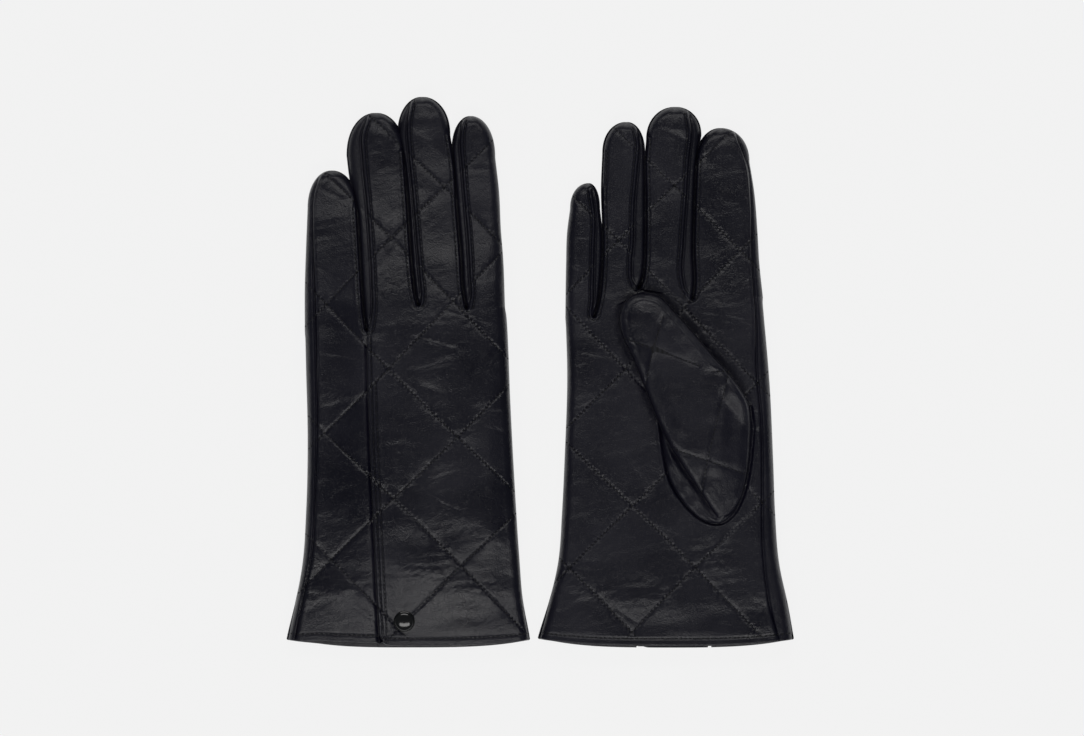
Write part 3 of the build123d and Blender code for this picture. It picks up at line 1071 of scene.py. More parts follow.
@dataclass(frozen=True)
class Knit:
    """Fine dark knit of the lining."""

    name: str = "knit_lining"
    dark: tuple[float, float, float] = (0.007, 0.007, 0.009)
    light: tuple[float, float, float] = (0.02, 0.02, 0.026)
    rib: float = 0.0012

    def material(self) -> bpy.types.Material:
        """Builds the material."""
        t = NodeTree(self.name)
        ribs = t.add("ShaderNodeTexWave", Scale=1.0 / self.rib / 6.0, Distortion=1.2, Detail=1.0)
        t.join(t.space(), ribs.inputs["Vector"])
        t.relief([(ribs.outputs["Fac"], 0.6, 0.0004), (t.noise(1600.0), 0.5, 0.0003)])
        t.join(t.tone(ribs.outputs["Fac"], self.dark, self.light), t.shader.inputs["Base Color"])
        t.shader.inputs["Roughness"].default_value = 0.92
        t.shader.inputs["Sheen Weight"].default_value = 0.3
        t.shader.inputs["Sheen Roughness"].default_value = 0.5
        return t.material


@dataclass(frozen=True)
class Thread:
    """Waxed black sewing thread."""

    name: str = "thread"
    colour: tuple[float, float, float] = (0.004, 0.004, 0.005)

    def material(self) -> bpy.types.Material:
        """Builds the material."""
        t = NodeTree(self.name)
        t.relief([(t.noise(2600.0, 1.0), 0.5, 0.0001)])
        lighter = tuple(c * 2 for c in self.colour)
        t.join(t.tone(t.noise(500.0), self.colour, lighter), t.shader.inputs["Base Color"])
        t.shader.inputs["Roughness"].default_value = 0.45
        t.shader.inputs["Specular IOR Level"].default_value = 0.4
        return t.material


@dataclass(frozen=True)
class Enamel:
    """Glossy enamel of the snap cap."""

    name: str = "black_enamel"
    colour: tuple[float, float, float] = (0.002, 0.002, 0.0025)

    def material(self) -> bpy.types.Material:
        """Builds the material."""
        t = NodeTree(self.name)
        t.relief([(t.noise(420.0, 1.0), 0.03, 0.0002)])
        lighter = tuple(c * 1.6 for c in self.colour)
        t.join(t.tone(t.noise(60.0), self.colour, lighter), t.shader.inputs["Base Color"])
        t.shader.inputs["Roughness"].default_value = 0.16
        t.shader.inputs["Coat Weight"].default_value = 0.5
        t.shader.inputs["Coat Roughness"].default_value = 0.09
        return t.material


@dataclass(frozen=True)
class Nickel:
    """Dark nickel plate of the fastener's hidden parts."""

    name: str = "fastener_steel"
    colour: tuple[float, float, float] = (0.32, 0.31, 0.3)

    def material(self) -> bpy.types.Material:
        """Builds the material."""
        t = NodeTree(self.name)
        wear = t.noise(700.0, 3.0)
        t.join(t.spread(wear, 0.2, 0.42), t.shader.inputs["Roughness"])
        lighter = tuple(c * 1.3 for c in self.colour)
        t.join(t.tone(wear, self.colour, lighter), t.shader.inputs["Base Color"])
        t.shader.inputs["Metallic"].default_value = 1.0
        return t.material


@dataclass
class Finishes:
    """All the finishes of the pair."""

    nappa: bpy.types.Material = field(
        default_factory=lambda: Nappa(
            "nappa_leather", (0.0024, 0.0022, 0.0088), (0.005, 0.0045, 0.014)
        ).material()
    )
    fourchette: bpy.types.Material = field(
        default_factory=lambda: Nappa(
            "fourchette_leather", (0.003, 0.003, 0.0092), (0.006, 0.0055, 0.014), 0.34, 0.25
        ).material()
    )
    knit: bpy.types.Material = field(default_factory=lambda: Knit().material())
    thread: bpy.types.Material = field(default_factory=lambda: Thread().material())
    enamel: bpy.types.Material = field(default_factory=lambda: Enamel().material())
    nickel: bpy.types.Material = field(default_factory=lambda: Nickel().material())


# ---------------------------------------------------------------------------------------------
# Stitches
# ---------------------------------------------------------------------------------------------


@dataclass
class StitchTree:
    """Geometry Nodes tree that lays thread stitches along polylines."""

    material: bpy.types.Material
    seed: int = 7
    pitch: float = 0.002
    thickness: float = 0.00025
    tree: bpy.types.GeometryNodeTree = field(init=False)
    sockets: dict[str, str] = field(init=False)

    def __post_init__(self) -> None:
        """Builds the tree with its named inputs."""
        tree = bpy.data.node_groups.new("stitches", "GeometryNodeTree")
        self.tree = tree
        self.sockets = {}
        tree.interface.new_socket("Geometry", in_out="INPUT", socket_type="NodeSocketGeometry")
        for name in ("Pitch", "Length", "Thickness"):
            item = tree.interface.new_socket(name, in_out="INPUT", socket_type="NodeSocketFloat")
            self.sockets[name] = item.identifier
        tree.interface.new_socket("Geometry", in_out="OUTPUT", socket_type="NodeSocketGeometry")
        new = tree.nodes.new
        start, end = new("NodeGroupInput"), new("NodeGroupOutput")
        curve, even = new("GeometryNodeMeshToCurve"), new("GeometryNodeResampleCurve")
        spots, place = new("GeometryNodeCurveToPoints"), new("GeometryNodeInstanceOnPoints")
        even.mode = "LENGTH"
        spots.mode = "EVALUATED"
        ball, shape = new("GeometryNodeMeshUVSphere"), new("GeometryNodeTransform")
        scale = new("ShaderNodeCombineXYZ")
        ball.inputs["Segments"].default_value, ball.inputs["Rings"].default_value = 6, 4
        turn, spin = new("FunctionNodeAlignRotationToVector"), new("FunctionNodeRotateRotation")
        turn.axis = "X"
        chance = new("FunctionNodeRandomValue")
        chance.data_type = "FLOAT_VECTOR"
        chance.inputs[0].default_value, chance.inputs[1].default_value = (0, -0.08, -0.16), (0, 0.08, 0.16)
        chance.inputs["Seed"].default_value = self.seed
        real, paint = new("GeometryNodeRealizeInstances"), new("GeometryNodeSetMaterial")
        paint.inputs["Material"].default_value = self.material
        for source, output, target, socket in (
            (start, "Geometry", curve, 0),
            (curve, 0, even, "Curve"),
            (start, "Pitch", even, "Length"),
            (even, 0, spots, 0),
            (start, "Length", scale, 0),
            (start, "Thickness", scale, 1),
            (start, "Thickness", scale, 2),
            (ball, "Mesh", shape, "Geometry"),
            (scale, 0, shape, "Scale"),
            (spots, "Tangent", turn, "Vector"),
            (turn, 0, spin, 0),
            (chance, 0, spin, 1),
            (spots, "Points", place, "Points"),
            (shape, 0, place, "Instance"),
            (spin, 0, place, "Rotation"),
            (place, 0, real, 0),
            (real, 0, paint, 0),
            (paint, 0, end, 0),
        ):
            tree.links.new(source.outputs[output], target.inputs[socket])

    def sew(self, name: str, lines: list[np.ndarray], length: float = 0.0007) -> bpy.types.Object:
        """Sews stitches along lines.

        Args:
            name: the piece's name.
            lines: corners of each line, xyz in metres.
            length: half of a stitch's length, in metres.

        Returns:
            A plain mesh object.
        """
        points = np.concatenate(lines)
        edges, offset = [], 0
        for line in lines:
            edges += [(offset + i, offset + i + 1) for i in range(len(line) - 1)]
            offset += len(line)
        mesh = bpy.data.meshes.new(name + "_path")
        mesh.from_pydata(points.tolist(), edges, [])
        obj = bpy.data.objects.new(name, mesh)
        bpy.context.scene.collection.objects.link(obj)
        modifier = obj.modifiers.new("stitches", "NODES")
        modifier.node_group = self.tree
        for key, value in (("Pitch", self.pitch), ("Length", length), ("Thickness", self.thickness)):
            modifier[self.sockets[key]] = value
        depsgraph = bpy.context.evaluated_depsgraph_get()
        sewn = bpy.data.meshes.new_from_object(obj.evaluated_get(depsgraph))
        obj.modifiers.remove(modifier)
        obj.data = sewn
        sewn.polygons.foreach_set("use_smooth", [True] * len(sewn.polygons))
        bpy.data.meshes.remove(mesh)
        return obj


# ---------------------------------------------------------------------------------------------
# The thumb
# ---------------------------------------------------------------------------------------------


@dataclass(frozen=True)
class ThumbPattern:
    """Plan of the thumb folded on the palm, the same for both gloves.

    The axis is the middle line of what presses the palm flat, and cover is the middle line of what
    hides the palm's threads, out to cover_reach.
    """

    fold: Points = field(
        default_factory=lambda: [
            (22.8, 56.4), (18.9, 62.1), (14.9, 68.2), (7.2, 79.4), (0.9, 89.6), (-6.5, 105.6),
            (-10.6, 116.2), (-17.4, 132.3), (-20.9, 140), (-21.9, 146.4), (-20.2, 152.8), (-16.2, 157),
            (-11, 158.7),
        ]
    )
    outline: Points = field(
        default_factory=lambda: [
            (22.8, 56.4), (27.4, 58), (31.6, 63), (34.6, 71), (36.2, 80), (37, 90), (37.2, 100),
            (36, 108.8), (33, 114.6), (27.4, 122.2), (20.5, 130), (9.9, 142.5), (1.4, 152), (-3.6, 156.8),
            (-11, 158.7),
        ]
    )
    oval: Points = field(
        default_factory=lambda: [
            (-3, 99), (-2.2, 90.5), (-1, 82.8), (0.7, 75.2), (4.6, 67.5), (10.6, 60), (17.6, 55.2),
            (23.6, 54.4), (29, 58), (33.2, 65.3), (36.2, 76), (37.7, 87.3), (38.4, 98), (37.2, 107),
        ]
    )
    quilt: tuple[Points, ...] = (
        ((-2.3, 147.2), (-6.5, 132.8), (-9.9, 117.5)),
        ((-18.9, 137.7), (-6.5, 133.2), (14, 125.6)),
        ((27.5, 122.9), (23.4, 105.8), (18, 83.3), (15.3, 68.9)),
        ((2.3, 88.2), (18, 82.8), (36, 76.5)),
        ((20.7, 122.9), (27.5, 122.9)),
    )
    axis: tuple[tuple[float, float], ...] = ((20, 66), (16, 96), (4, 122), (-11, 146))
    cover: tuple[tuple[float, float], ...] = ((22, 64), (18, 96), (4, 122), (-11, 146))
    cover_reach: float = 17.5

    def palm_relief(self, x: np.ndarray, y: np.ndarray, relief: np.ndarray) -> np.ndarray:
        """Sunk seam round the thumb's root, and the palm pressed flat under the thumb.

        Args:
            x: positions across.
            y: positions along.
            relief: the palm's own relief.

        Returns:
            Heights to add.
        """
        away = distance_to(x, y, np.array(self.axis))
        under = 1 - smooth((away - 6) / 6)
        gap = distance_to(x, y, smooth_path(self.oval, 1.5))
        outline = distance_to(x, y, smooth_path(self.outline[:-1] + self.fold[::-1], 1.5))
        inside = 1 - smooth((away - 15) / 3)
        seam = -1.5 * bump(gap, 0.6) + 0.4 * bump(gap - 1.4, 0.8) * (1 - inside)
        return seam - under * (relief + 0.3) - 0.55 * bump(outline, 2.4) * smooth((y - 96) / 12)


@dataclass
class Thumb:
    """Thumb of one glove: two faces, gusset, lining and stitches."""

    pattern: GlovePattern
    finishes: Finishes
    relief: Relief
    maker: MeshMaker
    stitches: StitchTree
    plan: ThumbPattern = field(default_factory=ThumbPattern)
    rows: int = 190
    columns: int = 64
    thickness: float = 7.3
    palm_gap: float = 0.3
    fold_radius: float = 2.8
    outer_radius: float = 3.2
    lining_margin: float = 2.2
    lining_depth: float = 1.8

    @property
    def up(self) -> float:
        """1 where the thumb lies on top of the palm, -1 where it lies beneath."""
        return 1.0 if self.pattern.face is Face.PALM_UP else -1.0

    def palm_height(self, x: np.ndarray, y: np.ndarray) -> np.ndarray:
        """Height of the plain palm face, without its relief."""
        rest = self.relief.rest_height(x, y)
        return rest + self.relief.depth(y) if self.up > 0 else rest

    def half_depth(self, x: np.ndarray, y: np.ndarray) -> np.ndarray:
        """Half of the thumb's thickness where it has room."""
        room = np.full(x.shape, self.thickness)
        if self.up < 0:
            room = np.minimum(room, self.palm_height(x, y) - 0.4)
        return room / 2 * (0.62 + 0.38 * smooth((y - 58) / 45))

    def lift(self, x: np.ndarray, y: np.ndarray) -> np.ndarray:
        """How far the thumb's middle stands off the palm, as a share of half its depth."""
        root = smooth((y - 92) / 26)
        gap = distance_to(x, y, smooth_path(self.plan.outline[:8], 2.0))
        return np.maximum(root, 0.05 + 0.95 * smooth(gap / 15))

    def surface(self, x: np.ndarray, y: np.ndarray, outer: bool, inset: float = 0.0) -> np.ndarray:
        """Height of one face of the thumb.

        Args:
            x: positions across.
            y: positions along.
            outer: True for the face away from the palm.
            inset: depth below the leather's outside.

        Returns:
            Heights above the floor.
        """
        fold = distance_to(x, y, smooth_path(self.plan.fold, 1.2))
        edge = distance_to(x, y, smooth_path(self.plan.outline, 1.2))
        root = 1 - smooth((y - 90) / 24)
        share = dome(np.maximum(fold - inset, 0), self.fold_radius)
        share = share * dome(np.maximum(edge - inset, 0), self.outer_radius + 2.4 * root)
        half = self.half_depth(x, y)
        middle = self.palm_height(x, y) + self.up * (self.palm_gap + half * self.lift(x, y))
        if not outer:
            z = middle - self.up * (half - inset) * share
            near = self.palm_height(x, y) + self.up * 0.12
            return np.maximum(z, near) if self.up > 0 else np.minimum(z, near)
        z = middle + self.up * np.maximum(half - inset, 0.2) * share
        if inset > 0:
            return z
        near_edge = np.minimum(fold, edge)
        puff = 0.5 * ripple(x, y, 30, 301) + 0.16 * ripple(x, y, 9, 302, 1.7)
        puff += 0.03 * ripple(x, y, 3.2, 303)
        hollow = -1.0 * smooth((near_edge - 3) / 7) * smooth((y - 80) / 20)
        tip = smooth((y - 118) / 18) * 0.3 * bump(near_edge - 3.6, 0.9)
        lines = np.zeros(x.shape)
        for points in self.plan.quilt:
            gap = distance_to(x, y, smooth_path(points, 1.0))
            lines -= 0.45 * bump(gap, 0.5) + 0.22 * bump(gap, 2.0)
        rim = 0.28 * bump(edge - 1.0, 0.7)
        return z + self.up * np.sqrt(share) * (puff + hollow + tip + lines + rim)

    def plan_grid(self, inset: float) -> tuple[np.ndarray, np.ndarray]:
        """Plan positions of the thumb's rows and columns.

        Args:
            inset: distance in from the outline.

        Returns:
            x and y, from the root to the tip.
        """
        v = cosine(self.rows)
        left = resample(smooth_path(self.plan.fold, 0.5), v)
        right = resample(smooth_path(self.plan.outline, 0.5), v)
        u = cosine(self.columns)[None, :, None]
        points = left[:, None] + (right - left)[:, None] * u
        centre = points.mean(axis=1, keepdims=True)
        width = np.linalg.norm(right - left, axis=1)[:, None, None]
        shrink = np.clip(1 - 2 * inset / np.maximum(width, 1e-6), 0, 1)
        points = centre + (points - centre) * shrink
        middle = np.array([5.0, 108.0])
        points = middle + (points - middle) * (1 - inset / 60)
        return points[..., 0], points[..., 1]

    def bend(self, obj: bpy.types.Object) -> None:
        """Bakes the world placement of a piece of the thumb into its mesh.

        Args:
            obj: a piece of the thumb.
        """
        self.maker.place(25.0, 55.0, 8.0)
        self.maker.place(21.0, 74.0, 8.0)
        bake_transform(obj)

    def build(self) -> None:
        """Makes the thumb's pieces."""
        name = self.pattern.name
        x, y = self.plan_grid(0.0)
        outside, inside = self.surface(x, y, True), self.surface(x, y, False)
        rim = (outside + inside) / 2
        edge = np.ones(x.shape, bool)
        edge[1:-1, 1:-1] = False
        outside[edge], inside[edge] = rim[edge], rim[edge]
        flip, unflip = slice(None, None, int(self.up)), slice(None, None, -int(self.up))
        front = np.stack([x, y, outside], axis=-1)[:, flip]
        back = np.stack([x, y, inside], axis=-1)[:, unflip]
        for part, points in (("front", front), ("back", back)):
            obj = self.maker.grids(f"{name}_thumb_{part}_skin", [points], self.finishes.nappa)
            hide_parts(f"{name}_thumb_{part}")
            self.bend(obj)
            log.info("%s: %d faces", obj.name, len(obj.data.polygons))
        x, y = self.plan_grid(self.lining_margin)
        layers = [
            np.stack([x, y, self.surface(x, y, outer, self.lining_depth)], axis=-1)[::2, turn][:, ::2]
            for outer, turn in ((True, flip), (False, unflip))
        ]
        rim = (layers[0] + layers[1][:, ::-1]) / 2
        for layer, border in ((layers[0], rim), (layers[1], rim[:, ::-1])):
            layer[[0, -1]], layer[:, [0, -1]] = border[[0, -1]], border[:, [0, -1]]
        knit = self.maker.grids(f"{name}_thumb_lining_knit", layers, self.finishes.knit)
        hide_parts(f"{name}_thumb_lining")
        self.bend(knit)
        self.build_gusset()
        self.sew()

    def build_gusset(self) -> None:
        """Makes the gusset between the palm's oval seam and the fold of the thumb."""
        name = self.pattern.name
        v = np.linspace(0, 1, 90)
        seam = resample(smooth_path(self.plan.oval[:8], 0.5), v)
        hidden = resample(offset_line(smooth_path(self.plan.fold[:7], 0.5), 7.0)[::-1], v)
        u = (np.linspace(0, 1, 40) ** 1.4)[None, :, None]
        points = seam[:, None] + (hidden - seam)[:, None] * u
        x, y = points[..., 0], points[..., 1]
        gap = distance_to(x, y, smooth_path(self.plan.oval, 1.0))
        fold = distance_to(x, y, smooth_path(self.plan.fold, 1.0))
        rise = -0.5 + 1.5 * dome(gap, 2.2) + 0.25 * ripple(x, y, 9, 411)
        rise += 0.9 * bump(fold - 2.5, 1.6) * smooth(gap / 3)
        z = self.palm_height(x, y) + self.up * np.where(gap < 0.02, -0.5, rise)
        points = np.concatenate([points, z[..., None]], axis=-1)
        obj = self.maker.grids(f"{name}_thumb_gusset_skin", [points[:: -int(self.up)]], self.finishes.nappa)
        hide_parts(f"{name}_thumb_gusset")
        self.maker.place(2.0, 74.0, 8.0)
        self.maker.place(11.0, 80.0, 8.0)
        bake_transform(obj)

    def sew(self) -> None:
        """Sews the quilting of the thumb."""
        name = self.pattern.name
        lines = []
        for points in self.plan.quilt:
            path = smooth_path(points, 0.6)
            x, y = path[:, 0], path[:, 1]
            z = self.surface(x, y, True) + self.up * THREAD_RISE
            lines.append((np.stack([x, y, z], axis=1) + self.maker.origin) * MM)
        obj = self.stitches.sew(f"{name}_thumb_stitches", lines)
        self.bend(obj)


# ---------------------------------------------------------------------------------------------
# The shell of one glove
# ---------------------------------------------------------------------------------------------


@dataclass
class GloveShell:
    """Leather and lining of one glove's hand and fingers, as rows and columns round a flat sleeve."""

    pattern: GlovePattern
    finishes: Finishes
    relief: Relief
    maker: MeshMaker
    stitches: StitchTree
    strip_columns: int = 12
    panel_columns: int = 44
    finger_rows: int = 170
    tip_rows: int = 24
    hand_rows: int = 330
    hidden_strip: int = 14
    wrapped_strip: int = 7
    relax: float = 34.0
    settle: float = 8.0
    nestle: float = 0.3
    fork_hold: float = 3.0
    hem_roll_size: float = 0.6
    hem_turn: float = 14.0
    hem_rows: int = 130
    lining_rows: int = 110
    lining_start: float = 10.0
    lap_face: float = 3.2
    lap_back: float = 4.2
    lap_margin: float = 1.5
    facing_depth: float = 1.1
    facing_turn: float = 0.8

    @property
    def finger_columns(self) -> int:
        """Columns across one finger."""
        return self.strip_columns + self.panel_columns

    def finger_grid(self, number: int, inset: float) -> tuple[np.ndarray, np.ndarray]:
        """Plan positions of one finger's rows and columns.

        Args:
            number: which finger, from the pinky.
            inset: depth of the skin below the outer leather.

        Returns:
            x and y, one row per row of the finger, from the forks to the tip.
        """
        p, finger = self.pattern, self.pattern.fingers[number]
        strip, panel = cosine(self.strip_columns), cosine(self.panel_columns)
        first, second = (strip, panel) if p.strip_side == 0 else (panel, strip)
        shoulder = max(finger.shoulder(0)[1], finger.shoulder(1)[1])
        base = min(finger.left[0][1], finger.right[0][1])
        share = (shoulder - base) / (finger.tip[1] - base)
        low = share * np.linspace(0, 1, self.finger_rows)
        high = share + (1 - share) * np.sin(np.linspace(0, math.pi / 2, self.tip_rows + 1))[1:]
        v = np.concatenate([low, high])[:, None]
        top = finger.tip[1] - inset - 0.02
        part = self.strip_columns / self.finger_columns
        n = len(first) - 1
        split = part if p.strip_side == 0 else 1 - part
        u = np.concatenate([first[:-1] * split, split + (1 - split) * second])[None, :]
        start = finger.left[0][1] + (finger.right[0][1] - finger.left[0][1]) * u
        y = start + (top - start) * v
        free = smooth((y - start) / self.fork_hold)
        touch, hold = self.nestle * free, 1 - free
        left, right = finger.edge(0, y) + inset, finger.edge(1, y) - inset
        if number > 0:
            left = left - touch + hold * (p.forks[number - 1][0] + inset - left)
        if number < 3:
            right = right + touch + hold * (p.forks[number][0] - inset - right)
        right = np.maximum(right, left + 0.01)
        seam = SmoothCurve(finger.seam)(y)
        edge_room = 0.05 * (right - left)
        seam = np.clip(seam, left + edge_room, right - edge_room)
        x = np.empty_like(y)
        x[:, :n] = left[:, :n] + (seam[:, :n] - left[:, :n]) * first[None, :-1]
        x[:, n:] = seam[:, n:] + (right[:, n:] - seam[:, n:]) * second[None, :]
        return x, y

    def under_seams(self, x: np.ndarray) -> list[np.ndarray]:
        """x of the strips' seams on the underside of a finger."""
        if self.pattern.strip_side == 0:
            return [x[:, [self.wrapped_strip]], x[:, [-1 - self.hidden_strip]]]
        return [x[:, [self.hidden_strip]], x[:, [-1 - self.wrapped_strip]]]

    def sleeve(self, x: np.ndarray, y: np.ndarray, top: np.ndarray, bottom: np.ndarray) -> np.ndarray:
        """Loops round the sleeve: over the top from left to right, back underneath.

        Args:
            x: positions across.
            y: positions along.
            top: heights of the top.
            bottom: heights of the underside.

        Returns:
            Rows, loop columns, xyz, with the first column repeated at the end.
        """
        edge = (top[:, [0, -1]] + bottom[:, [0, -1]]) / 2
        top, bottom = top.copy(), bottom.copy()
        top[:, [0, -1]] = edge
        bottom[:, [0, -1]] = edge
        over = np.stack([x, y, top], axis=-1)
        under = np.stack([x, y - self.pattern.hem_drop(x, y), bottom], axis=-1)[:, ::-1]
        return np.concatenate([over, under[:, 1:]], axis=1)

    def finger_sleeve(self, number: int, layer: Layer) -> np.ndarray:
        """The closed sleeve of one finger at one layer.

        Args:
            number: which finger, from the pinky.
            layer: which skin.

        Returns:
            Rows, loop columns, xyz.
        """
        x, y = self.finger_grid(number, layer.value)
        r, inset = self.relief, layer.value
        top = r.height(x, y, number, True, inset)
        bottom = r.height(x, y, number, False, inset, [] if inset else self.under_seams(x))
        points = self.sleeve(x, y, top, bottom)
        points[-1] = points[-1].mean(axis=0)
        return points

    def key_lines(self, y: np.ndarray, inset: float) -> list[np.ndarray]:
        """x of the hand's key columns: edges, seams and the lines down from the forks.

        Args:
            y: positions along, one value per row.
            inset: depth of the skin below the outer leather.

        Returns:
            One array per key column.
        """
        p = self.pattern
        left = SmoothCurve(p.left_edge)(y) + inset
        right = SmoothCurve(p.right_edge)(y) - inset
        lines = []
        for fork, hem in zip(p.forks, p.fork_hem_x):
            lines.append(hem[0] + (fork[0] - hem[0]) * y / fork[1])
        if p.face is Face.BACK_UP:
            lines[0] = p.vent_line(y)
            return [left, SmoothCurve(p.edge_seam)(y), *lines, right]
        return [left, *lines, SmoothCurve(p.edge_seam)(y), right]

    def key_columns(self) -> list[int]:
        """Column numbers of the key lines."""
        n = self.finger_columns
        if self.pattern.face is Face.BACK_UP:
            return [0, self.strip_columns, n, 2 * n, 3 * n, 4 * n]
        return [0, n, 2 * n, 3 * n, 4 * n - self.strip_columns, 4 * n]

    def spacing(self, u: np.ndarray, segment: int) -> np.ndarray:
        """Spacing of the columns between two key lines, closer at the vent and at the outline.

        Args:
            u: even positions from 0 to 1.
            segment: number of the gap between key lines.

        Returns:
            Positions from 0 to 1.
        """
        close_start, close_end = u**1.5, 1 - (1 - u) ** 1.5
        if self.pattern.face is Face.BACK_UP:
            return [cosine(len(u) - 1), close_end, close_start, u, close_end][segment]
        return [close_start, u, u, u, cosine(len(u) - 1)][segment]

    def hand_grid(self, inset: float, rows: int, start: float = 0.0) -> tuple[np.ndarray, np.ndarray]:
        """Plan positions of the hand's rows and columns.

        Args:
            inset: depth of the skin below the outer leather.
            rows: number of steps along the hand.
            start: distance from the hem at which the skin begins.

        Returns:
            x and y, from the hem to the forks.
        """
        starts = [self.finger_grid(k, inset) for k in range(4)]
        top_x = np.concatenate([starts[0][0][0], *[s[0][0][1:] for s in starts[1:]]])
        top_y = np.concatenate([starts[0][1][0], *[s[1][0][1:] for s in starts[1:]]])
        v = np.linspace(0, 1, rows)
        keys = self.key_columns()
        x = np.empty((len(v), len(top_x)))
        y = np.empty_like(x)
        for r, along in enumerate(v):
            level = top_y * along + start * (1 - along)
            lines = self.key_lines(level, inset)
            drift = smooth((top_y - level) / self.relax)
            settle = smooth((top_y - level) / self.settle)
            for segment, (a, b) in enumerate(zip(keys[:-1], keys[1:])):
                k = np.arange(a, b + 1)
                held = (top_x[k] - top_x[a]) / max(top_x[b] - top_x[a], 1e-6)
                even = self.spacing((k - a) / (b - a), segment)
                f = held + (even - held) * drift[k]
                left, right = lines[segment][k], lines[segment + 1][k]
                here = left + (right - left) * f
                x[r, k] = here + (top_x[k] - here) * (1 - settle[k]) ** 3
            y[r] = level
        x[-1] = top_x
        return x, y + self.pattern.hem_line(x) * self.pattern.hem_share(y)

    def hand_sleeve(self, layer: Layer, rows: int, start: float = 0.0) -> np.ndarray:
        """The sleeve of the hand at one layer.

        Args:
            layer: which skin.
            rows: number of steps along the hand.
            start: distance from the hem at which the skin begins.

        Returns:
            Rows, loop columns, xyz.
        """
        inset = layer.value
        x, y = self.hand_grid(inset, rows, start)
        top = self.relief.height(x, y, -1, True, inset)
        bottom = self.relief.height(x, y, -1, False, inset)
        n = self.finger_columns
        for k in range(4):
            fx, fy = self.finger_grid(k, inset)
            span = slice(k * n, (k + 1) * n + 1)
            top[-1, span] = self.relief.height(fx[:1], fy[:1], k, True, inset)[0]
            seams = [] if inset else self.under_seams(fx[:1])
            bottom[-1, span] = self.relief.height(fx[:1], fy[:1], k, False, inset, seams)[0]
        return self.sleeve(x, y, top, bottom)

    def round_corner(self, points: np.ndarray) -> np.ndarray:
        """Rounds the free corner of the flap at the vent and the hem.

        Args:
            points: rows, columns, xyz of the back panel.

        Returns:
            The points with that corner drawn in.
        """
        p, radius = self.pattern, self.pattern.vent_corner
        a = points[..., 0] - p.vent_line(points[..., 1])
        b = points[..., 1] - p.hem_line(points[..., 0])
        inside = (a < radius) & (b < radius) & (a > -0.01)
        px, py = radius - a, radius - b
        length = np.maximum(np.hypot(px, py), 1e-6)
        scale = np.where(inside, np.maximum(px, py) / length, 1.0)
        out = points.copy()
        out[..., 0] += np.where(inside, px * (1 - scale), 0)
        out[..., 1] += np.where(inside, py * (1 - scale), 0)
        return out

    def build(self) -> None:
        """Makes every leather and lining piece of the hand and the fingers."""
        for number in range(4):
            self.build_finger(number)
        self.build_hand()
        self.build_flap()
        self.sew()

    def joint_span(self, finger: str) -> tuple[Vector, Vector]:
        """Where a finger's leather starts and ends to bend, in the row frame.

        Args:
            finger: name of the finger.

        Returns:
            Start and end of the bend.
        """
        joint = next(j for j in frame["joints"] if j["name"] == f"{self.pattern.name}_{finger}_curl")
        root = Vector(joint["pos_m"])
        fork_y = max(self.pattern.split_line(np.array([f.tip[0] for f in self.pattern.fingers])).max(), 0)
        start = Vector((root.x, (fork_y + self.pattern.hem_y) * MM, root.z))
        end = start + Vector((0, max(2 * (root.y - start.y), 0.018), 0))
        return start, end

    def bend_finger(self, obj: bpy.types.Object, finger: str) -> None:
        """Bakes the world placement of a finger's piece into its mesh."""
        start, end = self.joint_span(finger)
        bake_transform(obj)

    def build_finger(self, number: int) -> None:
        """Makes the back, palm, fourchettes and lining of one finger.

        Args:
            number: which finger, from the pinky.
        """
        p, name = self.pattern, self.pattern.fingers[number].name
        n, a = self.finger_columns, self.strip_columns
        loop = 2 * n
        points = self.finger_sleeve(number, Layer.LEATHER)
        ring = np.concatenate([points, points[:, 1:]], axis=1)
        if p.strip_side == 0:
            spans = {
                "up": (a, n),
                "right_strip": (n, n + self.hidden_strip),
                "down": (n + self.hidden_strip, loop - self.wrapped_strip),
                "left_strip": (loop - self.wrapped_strip, loop + a),
            }
        else:
            spans = {
                "up": (0, n - a),
                "right_strip": (n - a, n + self.wrapped_strip),
                "down": (n + self.wrapped_strip, loop - self.hidden_strip),
                "left_strip": (loop - self.hidden_strip, loop),
            }
        up, down = ("back", "palm") if p.face is Face.BACK_UP else ("palm", "back")
        parts: dict[str, list[str]] = {
            up: ["up"],
            down: ["down"],
            "fourchette": ["left_strip", "right_strip"],
        }
        if name == "pinky":
            parts["fourchette"].remove("left_strip")
            parts["palm"].append("left_strip")
        if name == "index":
            parts["fourchette"].remove("right_strip")
            parts["back"].append("right_strip")
        for part, names in parts.items():
            finish = self.finishes.fourchette if part == "fourchette" else self.finishes.nappa
            pieces = [ring[:, spans[k][0] : spans[k][1] + 1] for k in names]
            obj = self.maker.grids(f"{p.name}_{name}_{part}_skin", pieces, finish)
            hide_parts(f"{p.name}_{name}_{part}")
            self.bend_finger(obj, name)
            log.info("%s: %d faces", obj.name, len(obj.data.polygons))
        inner = self.finger_sleeve(number, Layer.KNIT)[::2, ::2]
        knit = self.maker.grids(f"{p.name}_{name}_lining_knit", [inner], self.finishes.knit)
        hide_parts(f"{p.name}_{name}_lining")
        self.bend_finger(knit, name)

